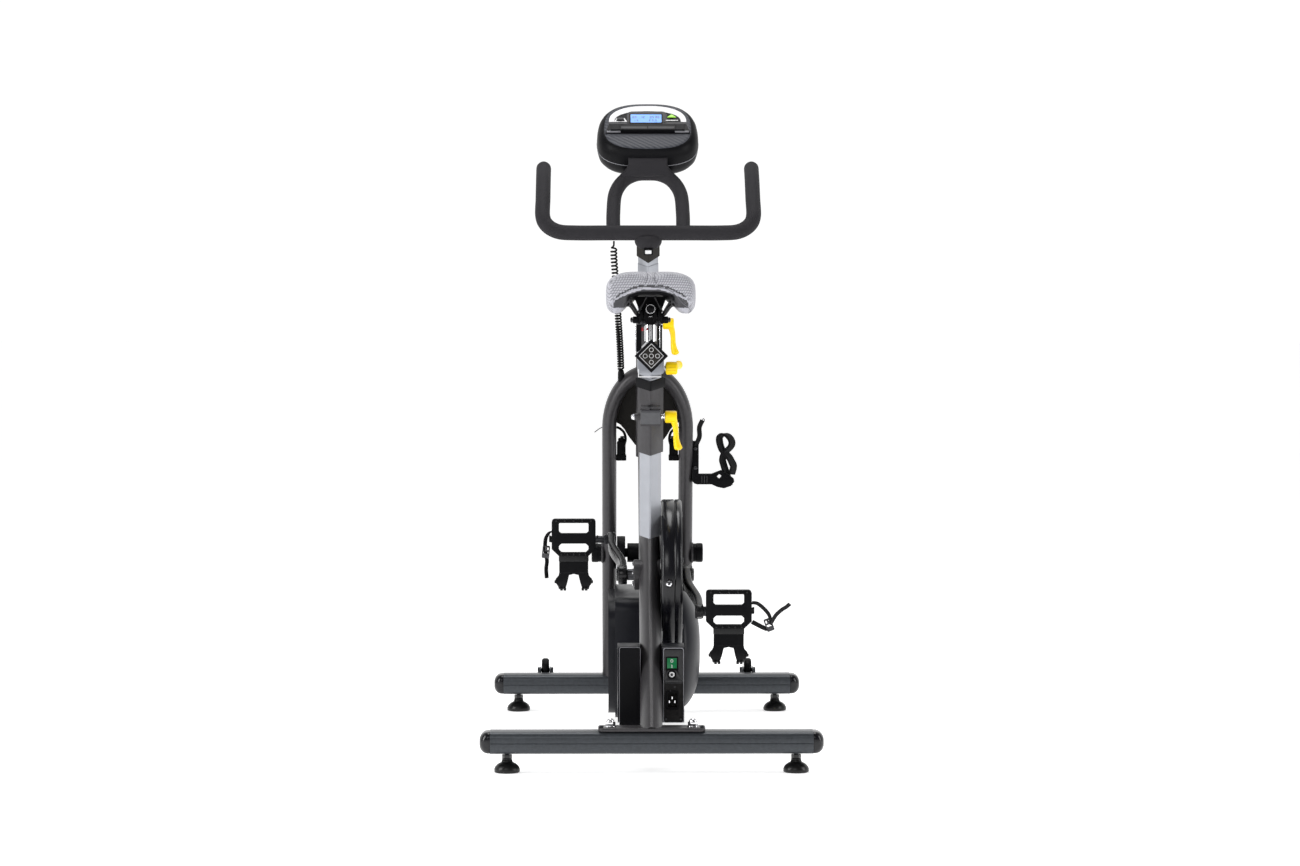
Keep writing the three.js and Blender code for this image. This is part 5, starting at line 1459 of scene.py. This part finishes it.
def make_stitches(made):
    """Short thread marks that follow the band seam round the cushion and the seams beside its notch."""
    finder = BVHTree.FromObject(made, bpy.context.evaluated_depsgraph_get())
    marks = []
    pitch = 5.0

    def drop_stitch(target, from_point, ahead):
        ray = (target - from_point).normalized()
        hit, normal, _, _ = finder.ray_cast(from_point * MM, ray, 0.3)
        if hit is None:
            return
        place = hit / MM + normal * 0.15
        ahead = (ahead - normal * ahead.dot(normal)).normalized()
        side = normal.cross(ahead)
        corners = [place + ahead * (1.3 * a) + side * (0.35 * b) + normal * (0.3 * c)
                   for a in SIDES for b in SIDES for c in SIDES]
        marks.append(new_shape(corners, BOX_FACES))

    seams = seam_paths(finder)
    for line, lift in seams:
        travelled = pitch
        for before, point in zip(line, line[1:]):
            travelled += (point - before).length
            if travelled >= pitch:
                travelled = 0.0
                if lift == "top":
                    away = Vector((0, 0, 1))
                    start = point + away * 30
                else:
                    away = Vector((point.x, point.y - SADDLE_Y, 0)).normalized()
                    start = point + Vector((0, 0, 2.4)) + away * 30
                drop_stitch(start - away * 60, start, point - before)
    piece("saddle_stitches", "saddle", join(*marks), STITCH, sharp=30)
    threads = [sweep(line, circle(0.55, 8)) for line, _ in seams]
    piece("saddle_seam_threads", "saddle", join(*threads), SEAM_DARK, sharp=60)


def seam_paths(finder):
    """The seams' lines on the finished cover: one round the rim and two along the notch."""
    def landing(start, ray, reach):
        """Where a ray meets the cover, just off its surface, or None if it misses."""
        hit, normal, _, _ = finder.ray_cast(start * MM, ray, reach)
        return None if hit is None else hit / MM + normal * 0.1

    rim = []
    for share in shares(150):
        angle = math.pi * (1.5 + 2 * share)
        ray = Vector((math.cos(angle), math.sin(angle), 0))
        y = SADDLE_Y + 120 * ray.y
        station = station_at(y)
        edge_x = math.copysign(min(station["half"], abs(ray.x) * 200), ray.x)
        height = saddle_heights(station, edge_x)[1] + BAND_HEIGHT
        point = landing(Vector((edge_x * 0.9, y, height)) + ray * 80, -ray, 0.2)
        if point is not None and (not rim or (point - rim[-1]).length < 25):
            rim.append(point)
    lines = [(rim, "side")]
    for side in SIDES:
        line = []
        for share in shares(8):
            x, z = side * (13 - 7.5 * share), 862 + 14 * share
            line.append(landing(Vector((x, SADDLE_Y - 200, z)), (0, 1, 0), 0.3))
        for share in shares(39):
            x, y = side * (6 + 5 * math.sin(math.pi * share)), SADDLE_Y - 126 + 236 * share
            line.append(landing(Vector((x, y, 960)), (0, 0, -1), 0.3))
        lines.append(([point for point in line if point is not None], "top"))
    return lines


make_levers()
make_seat_mast()
make_saddle_clamp()
make_saddle()


# ---------------------------------------------------------------- handlebar and console

BAR_HEIGHT = 958
BAR = HEAD_FRAME @ Vector((0, 0, up_head(BAR_HEIGHT)))


def make_handlebar():
    finish_node("handlebar_post", SILVER_PAINT, 1.6)
    side, y, z = 203, BAR.y, BAR.z
    half = [(0, y, z), (70, y, z), (side - 62, y, z), (side - 30, y + 1.5, z + 2.5),
            (side - 9, y + 8, z + 14), (side, y + 20, z + 32), (side, y + 60, z + 66),
            (side, y + 105, z + 100), (side, y + 150, z + 125)]
    main = sweep(spline(both_ways(half), 8), circle(14.5, 32), up=(0, 1, 0))
    end_turn = Vector((0, 50, 28)).to_track_quat("Z", "X").to_matrix().to_4x4()
    tips = [moved(lathe([(14.5, 0), (14, 4), (12, 8.6), (8.6, 12), (4, 14), (0, 14.5)], 32),
                  at(x, y + 150, z + 125) @ end_turn) for x in (-side, side)]
    loop_half = [(0, y + 105, z + 115), (24, y + 103, z + 113), (47, y + 93, z + 101), (63, y + 72, z + 76),
                 (67, y + 36, z + 38), (67, y + 2, z + 2)]
    loop = sweep(spline(both_ways(loop_half), 10), circle(13.5, 32), up=(0, 1, 0))
    shoulders = mirrored([(38, 30), (38, 16), (41, 8), (48, 0), (54, -6), (56, -13), (46, -17), (30, -8)])
    neck_at = at(0, y + 95, z + 118) @ Matrix.Rotation(0.15, 4, "X") @ TO_REAR
    neck = moved(plate([shoulders], 25, 6, 4), neck_at)
    piece("handlebar_tube", "handlebars", join(main, loop, neck, *tips), BAR_RUBBER,
          ["handlebar"], sharp=55)
    make_hub()


def make_hub():
    """The dark socket over the post, the rubber boot above it and the small slot in front, whose white fill
    is painted light seen through it.
    """
    base = up_head(900)
    half = 22.8
    outline = diamond(half, 2, 4)
    rings = [[HEAD_FRAME @ Vector((u, v, base + 8 + 7 * abs(u) / half)) for u, v in outline],
             [HEAD_FRAME @ Vector((u * 1.01, v * 1.01, base + 10 + 7 * abs(u) / half)) for u, v in outline],
             [HEAD_FRAME @ Vector((u * 1.01, v * 1.01, base + 36)) for u, v in outline]]
    piece("handlebar_socket", "handlebars", loft(rings), SHIELD_PLASTIC, ["handlebar_hub"])
    post = frame["nodes"]["handlebar_post"]
    places = [post.matrix_world @ vertex.co / MM for vertex in post.data.vertices]
    post_end = max((place - HEAD_POINT).dot(HEAD_AXIS) for place in places)
    post_half = span("handlebar_post")[1].x
    neck_end = [[HEAD_FRAME @ Vector((u, v, h)) for u, v in diamond(post_half, 1.5, 4)]
                for h in (post_end, base + 18)]
    piece("handlebar_post_end", "handlebars", loft(neck_end), SILVER_PAINT)
    bulge = []
    for h, r in ((33, 16), (34.5, 20.5), (38, 24), (43, 26), (49, 26.6), (55, 25.6), (59, 23), (61, 20)):
        bulge.append([HEAD_FRAME @ Vector((r * u, r * v * 0.94, base + h)) for u, v in circle(1, 40)])
    piece("handlebar_hub_boot", "handlebars", loft(bulge), BAR_RUBBER, sharp=60)
    rest = HEAD_FRAME @ at(0, -half - 0.6, base + 32)
    surround = moved(plate([rounded_rect(9, 6.5, 2, 4)], 5, 0.8), rest @ TO_REAR)
    piece("handlebar_hub_surround", "handlebars", surround, BLACK_PLASTIC)
    # The slot is a see-through hole; its white fill is painted light from beyond it.
    mark = moved(plate([rounded_rect(6, 3.6, 0.8, 3)], 1, 0.2, 1), rest @ at(0, -2.8, 0) @ TO_REAR)
    piece("handlebar_hub_slot_painted_light", "handlebars", mark, WHITE_PLASTIC)


CONSOLE = leaning(middle("display_window"), CONSOLE_NORMAL)
CONSOLE_LIFT = 3.5
CONSOLE_FACE_HEIGHT = 29
DISPLAY_AT = (-3, 22.5)


def console_loop(half, low, high, steps=64, power=0.7):
    """A soft-cornered oblong on the console's face, a little narrower towards its top."""
    centre, reach = (low + high) / 2, (high - low) / 2
    points = []
    for k in range(steps):
        angle = 2 * math.pi * (k + 0.5) / steps
        x = half * bulged(math.cos(angle), power)
        y = centre + reach * bulged(math.sin(angle), power)
        points.append((x * (1 - 0.07 * max(0, (y + 15) / 89) ** 1.4), y))
    return points


def on_console(shape, x=0, y=0, above=0.0):
    """Puts a shape drawn round the face's own centre on the console, above its face."""
    return moved(shape, CONSOLE @ at(x - DISPLAY_AT[0], y - DISPLAY_AT[1], above + CONSOLE_LIFT))


def console_body(name, rows, finish, node=()):
    """A shell through rows of (height over its middle, half width, lower end, upper end)."""
    rings = [[Vector((x, y, z - CONSOLE_FACE_HEIGHT)) for x, y in console_loop(half, low, high)]
             for z, half, low, high in rows]
    return piece(name, "handlebars", on_console(loft(rings)), finish, node, sharp=50)


def flat_mark(name, loops, finish, above, thick=0.6, node=(), bevel=0.12):
    """Thin raised shapes on the console's face, each an outline with its holes."""
    shape = join(*(plate(group, thick, bevel, 1) for group in loops))
    return piece(name, "handlebars", on_console(shape, above=above), finish, node)


ARCH_FOOT = 13
ARCH_SQUARENESS = 0.86


def key_arch(half, rise, steps):
    """The upper half of a soft-cornered oblong that stands on the sill above the display panel's foot."""
    angles = [math.pi * share for share in shares(steps)]
    return [(half * bulged(math.cos(angle), ARCH_SQUARENESS),
             ARCH_FOOT + rise * max(0, math.sin(angle)) ** ARCH_SQUARENESS) for angle in angles]


def make_console():
    console_body("console_rear_body", [
        (-40, 76, -54, 54), (-39.6, 84, -62, 62), (-36.5, 91, -69, 69), (-29, 96.4, -73, 73),
        (-18, 98.8, -74.6, 74.6), (-9, 99.4, -75, 75)], BLACK_PLASTIC, ["console_rear_shell"])
    console_body("console_seam", [(-9.4, 99.8, -75.4, 75.4), (-8.1, 99.8, -75.4, 75.4)], RIM_GREY)
    console_body("console_front_body", [
        (-8.4, 99.4, -75, 75), (6, 99, -74.8, 74.8), (16, 97, -73.6, 74), (22.6, 93.4, -71.6, 73),
        (26.4, 89, -69, 71.4), (28.2, 85, -66.6, 69.6)], BLACK_PLASTIC, ["console_front_shell"])
    console_body("console_face", [
        (26.6, 87.6, -68.6, 70.4), (28.4, 84.6, -66.2, 68.8), (29.6, 80.4, -60.5, 65.6)], FACE_GREY)

    outer, inner = key_arch(75.5, 49, 40), key_arch(65, 33, 40)
    flat_mark("console_arc", [[outer + list(reversed(inner))]], WHITE_PLASTIC, 0.9)
    flat_mark("console_key_field", [[key_arch(64.6, 32.6, 30)]], DARK_MARK, 0.8)
    panel = [(-40, 6), (37, 6), (37.5, 36), (33, 43), (28, 44.6), (-31, 44.6), (-36, 43), (-40.5, 36)]
    sill = rounded_rect(76, 3.6, 2, 3, 0, 9)
    flat_mark("console_display_panel", [[panel], [sill]], GREY_PLASTIC, 1.2, 0.9)
    flat_mark("display_bezel", [[rounded_rect(33, 15.2, 2.4, 4, *DISPLAY_AT),
                                 rounded_rect(30.2, 12.6, 1.6, 4, *DISPLAY_AT)]],
              DARK_MARK, 1.8, 0.8)
    flat_mark("display_screen", [[rounded_rect(30.6, 13, 1.6, 4, *DISPLAY_AT)]], LCD_BLUE, 1.6,
              0.8, node=["display_window"])
    make_digits()
    make_shelf()
    make_keys()


def make_shelf():
    """The ledge below the display: a dark recess, two pads, a lip and its pale edge."""
    recess = mirrored([(80, -23), (83, -21.5), (76, 4.4), (73, 5.4)])
    flat_mark("console_shelf_recess", [[recess]], DARK_MARK, 1.0, 0.8)
    pads = join(block(-52, -1, -11.5, -2.5, 0.6, 3), block(1, 52, -11.5, -2.5, 0.6, 3))
    piece("console_shelf_pads", "handlebars", on_console(pads), GREY_PLASTIC, bevel=0.7)
    lip = join(block(-72, 72, -18.5, -14.5, 0, 8), block(-81, -52, -18, -14, 0, 4.5),
               block(52, 81, -18, -14, 0, 4.5), block(-72, -54, -12, 0, 0, 5), block(54, 72, -12, 0, 0, 5))
    piece("console_shelf_lip", "handlebars", on_console(lip), BLACK_PLASTIC, bevel=0.9)
    edge = join(block(-80, -53, -19.8, -18.2, 0, 4.8), block(53, 80, -19.8, -18.2, 0, 4.8))
    piece("console_shelf_edge", "handlebars", on_console(edge), RIM_GREY, bevel=0.3)


def make_keys():
    """The menu key in its outline, and the green start key over a short line."""
    key = [(-66, 13), (-40, 13), (-45, 24), (-60, 24)]
    key_inner = [(-62, 14.6), (-44, 14.6), (-47, 22.4), (-59, 22.4)]
    flat_mark("menu_key_outline", [[key, key_inner]], WHITE_PLASTIC, 1.4)
    oval = plate([[(x * 1.6, y * 0.7) for x, y in circle(4.2, 28)]], 2.6, 0.6, 2)
    piece("menu_key", "menu_key", on_console(oval, -53, 18.4, 4.3), GREY_PLASTIC,
          ["menu_button"])
    triangle = plate([[(-8.6, -3.4), (8.6, -3.4), (1.2, 4.4), (-1.2, 4.4)]], 2.6, 0.6)
    piece("start_key", "start_key", on_console(triangle, 47, 26.5, 4.3), KEY_GREEN,
          ["start_button"])
    flat_mark("start_key_line", [[rounded_rect(12, 1.1, 0.5, 2, 47.5, 17.5)]], WHITE_PLASTIC,
              1.4)


SEGMENTS = {0: "abcdef", 1: "bc", 2: "abged", 5: "afgcd", 8: "abcdefg"}


def digit_bars(value, x, y, width, height, line):
    """The lit bars of one seven-bar figure."""
    half_x, half_y = width / 2, height / 2
    bars = {"a": (0, half_y, True), "g": (0, 0, True), "d": (0, -half_y, True),
            "f": (-half_x, half_y / 2, False), "b": (half_x, half_y / 2, False),
            "e": (-half_x, -half_y / 2, False), "c": (half_x, -half_y / 2, False)}
    loops = []
    for letter in SEGMENTS[value]:
        across, up, flat = bars[letter]
        size = (half_x, line) if flat else (line, half_y / 2)
        loops.append([rounded_rect(*size, line * 0.6, 1, x + across, y + up)])
    return loops


def make_digits():
    loops = []
    for x, value in zip((-28, -23.5, -12, -7.5, 6, 10.5, 17, 21.5), (0, 0, 1, 2, 0, 5, 8, 0)):
        loops += digit_bars(value, x, 26.5, 2.4, 5.4, 0.42)
    for x, value in zip((-26, -20, 4, 10, 16), (1, 5, 2, 0, 0)):
        loops += digit_bars(value, x, 16.6, 2.2, 4.6, 0.36)
    flat_mark("display_figures", loops, LCD_DIGIT, 2.1, 0.2, bevel=0.0)


make_handlebar()
make_console()


# ---------------------------------------------------------------- coiled cord

CORD_ROUTE = [(-66, BAR.y + 3, 942), (-66, BAR.y + 12, 915), (-63, 172, 870), (-58, 200, 800),
              (-54, 224, 735), (-52, 241, 684)]


CORD_THICKNESS = 3.6
CORD_STRAIGHT_END = 12
COIL_RADIUS = 5.3
COIL_PITCH = 7.2
COIL_TIGHTENING = 2.1
STEPS_PER_TURN = 16


def make_cord():
    """A helix whose turns open out in the upper part and close up below."""
    line = spline(CORD_ROUTE, 16)
    lengths = [0.0]
    for a, b in zip(line, line[1:]):
        lengths.append(lengths[-1] + (b - a).length)
    total = lengths[-1]

    def along(distance):
        for i in range(len(lengths) - 1):
            if distance <= lengths[i + 1] or i == len(lengths) - 2:
                share = (distance - lengths[i]) / (lengths[i + 1] - lengths[i])
                return line[i].lerp(line[i + 1], limited(share)), (line[i + 1] - line[i]).normalized()

    path = []
    distance, angle = 0.0, 0.0
    step = 1 / STEPS_PER_TURN
    while distance < total:
        inside = smooth(0, CORD_STRAIGHT_END, min(distance - CORD_STRAIGHT_END * 0.4, total - distance))
        tightened = limited((distance / total - 0.4) / 0.3)
        pitch = COIL_PITCH - COIL_TIGHTENING * tightened + 24 * (1 - inside)
        centre, tangent = along(distance)
        side = Vector((1, 0, 0))
        side = (side - tangent * side.dot(tangent)).normalized()
        over = tangent.cross(side)
        radius = COIL_RADIUS * inside
        path.append(centre + side * (radius * math.cos(angle)) + over * (radius * math.sin(angle)))
        angle += 2 * math.pi * step
        distance += pitch * step
    shape = sweep(path, circle(CORD_THICKNESS / 2, 8))
    boot = [(0, -7), (4, -7), (6.4, -5), (6.8, 0), (6.6, 6), (6.2, 14), (5, 19), (3, 21.4), (0, 22)]
    lean = (line[-2] - line[-1]).normalized()
    foot = Matrix.Translation(line[-1]) @ lean.to_track_quat("Z", "X").to_matrix().to_4x4()
    piece("cord_boot", "frame", moved(lathe(boot, 28), foot @ at(0, 0, -12)), BLACK_PLASTIC,
          sharp=50)
    shape.transform(Matrix.Scale(MM, 4))
    bmesh.ops.recalc_face_normals(shape, faces=shape.faces)
    mesh = bpy.data.meshes.new("console_cord")
    shape.to_mesh(mesh)
    shape.free()
    mesh.polygons.foreach_set("use_smooth", [True] * len(mesh.polygons))
    mesh.materials.append(CORD_RUBBER)
    cord = bpy.data.objects.new("console_cord", mesh)
    bpy.context.scene.collection.objects.link(cord)
    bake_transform(cord)
    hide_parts("coiled_cord")


def make_bottle_holder():
    """An angled bracket beside the arch that ends in a claw, and the hook-and-loop strap through it."""
    y = middle("bottle_bracket").y
    upright = [(87.4, 548), (89, 550), (99, 550), (100.6, 548), (100.6, 485.4), (125.8, 485.4), (144, 492.5),
               (147.5, 491.5), (149, 488.5), (160, 483.5), (169.5, 476), (170.5, 470), (164, 461.5),
               (150, 456.8), (137, 459.5), (125.8, 464.6), (98, 464.6), (92.4, 466), (88.8, 469.4),
               (87.4, 475)]
    hole = [(136, 480), (140.6, 485), (145.4, 481), (141, 475.6)]
    body = moved(plate([upright, hole], 20, 2.2, 3), at(0, y, 0) @ TO_REAR)
    piece("bottle_claw", "frame", body, BLACK_PLASTIC, ["bottle_bracket"])
    ribs = [block(x, x + 1.4, y - 11, y - 8, 468, 482) for x in (106, 111, 116)]
    piece("bottle_claw_ribs", "frame", join(*ribs), GREY_PLASTIC, bevel=0.3)
    screws = [moved(hex_nut(7, 2.4, 1), at(94, y - 9.6, z) @ TO_REAR) for z in (497, 535)]
    piece("bottle_claw_screws", "frame", join(*screws), DARK_STEEL)
    route = [(160.6, 462), (157, 480), (148.6, 507), (148, 516), (151.4, 525.5), (163.7, 539),
             (165.5, 549), (159, 559), (149.5, 562), (142, 556.5), (142, 546), (147.6, 531), (159, 520),
             (165.5, 508.6), (169, 499), (165.5, 484)]
    coil = [(x, y + 3 * math.sin(k * 0.9), z) for k, (x, z) in enumerate(route)]
    loop = ribbon(spline(coil, 6), 15, 5, (0.72, 0.7, 0))
    flap = [(94, y - 8, 540), (98.6, y - 11, 550), (102, y - 11, 560), (101.7, y - 10, 577),
            (107.9, y - 9, 591)]
    tail = ribbon(spline(flap, 5), 9, 3.4, (0.9, 0.5, 0))
    tie = wire([(107, y - 9, 588), (109.4, y - 9, 594), (112, y - 9, 591), (109, y - 9, 586)], 0.7, 5, 8)
    piece("bottle_loop", "frame", join(loop, tail, tie), WEBBING, ["bottle_strap"], bevel=0.5)


make_cord()
make_bottle_holder()
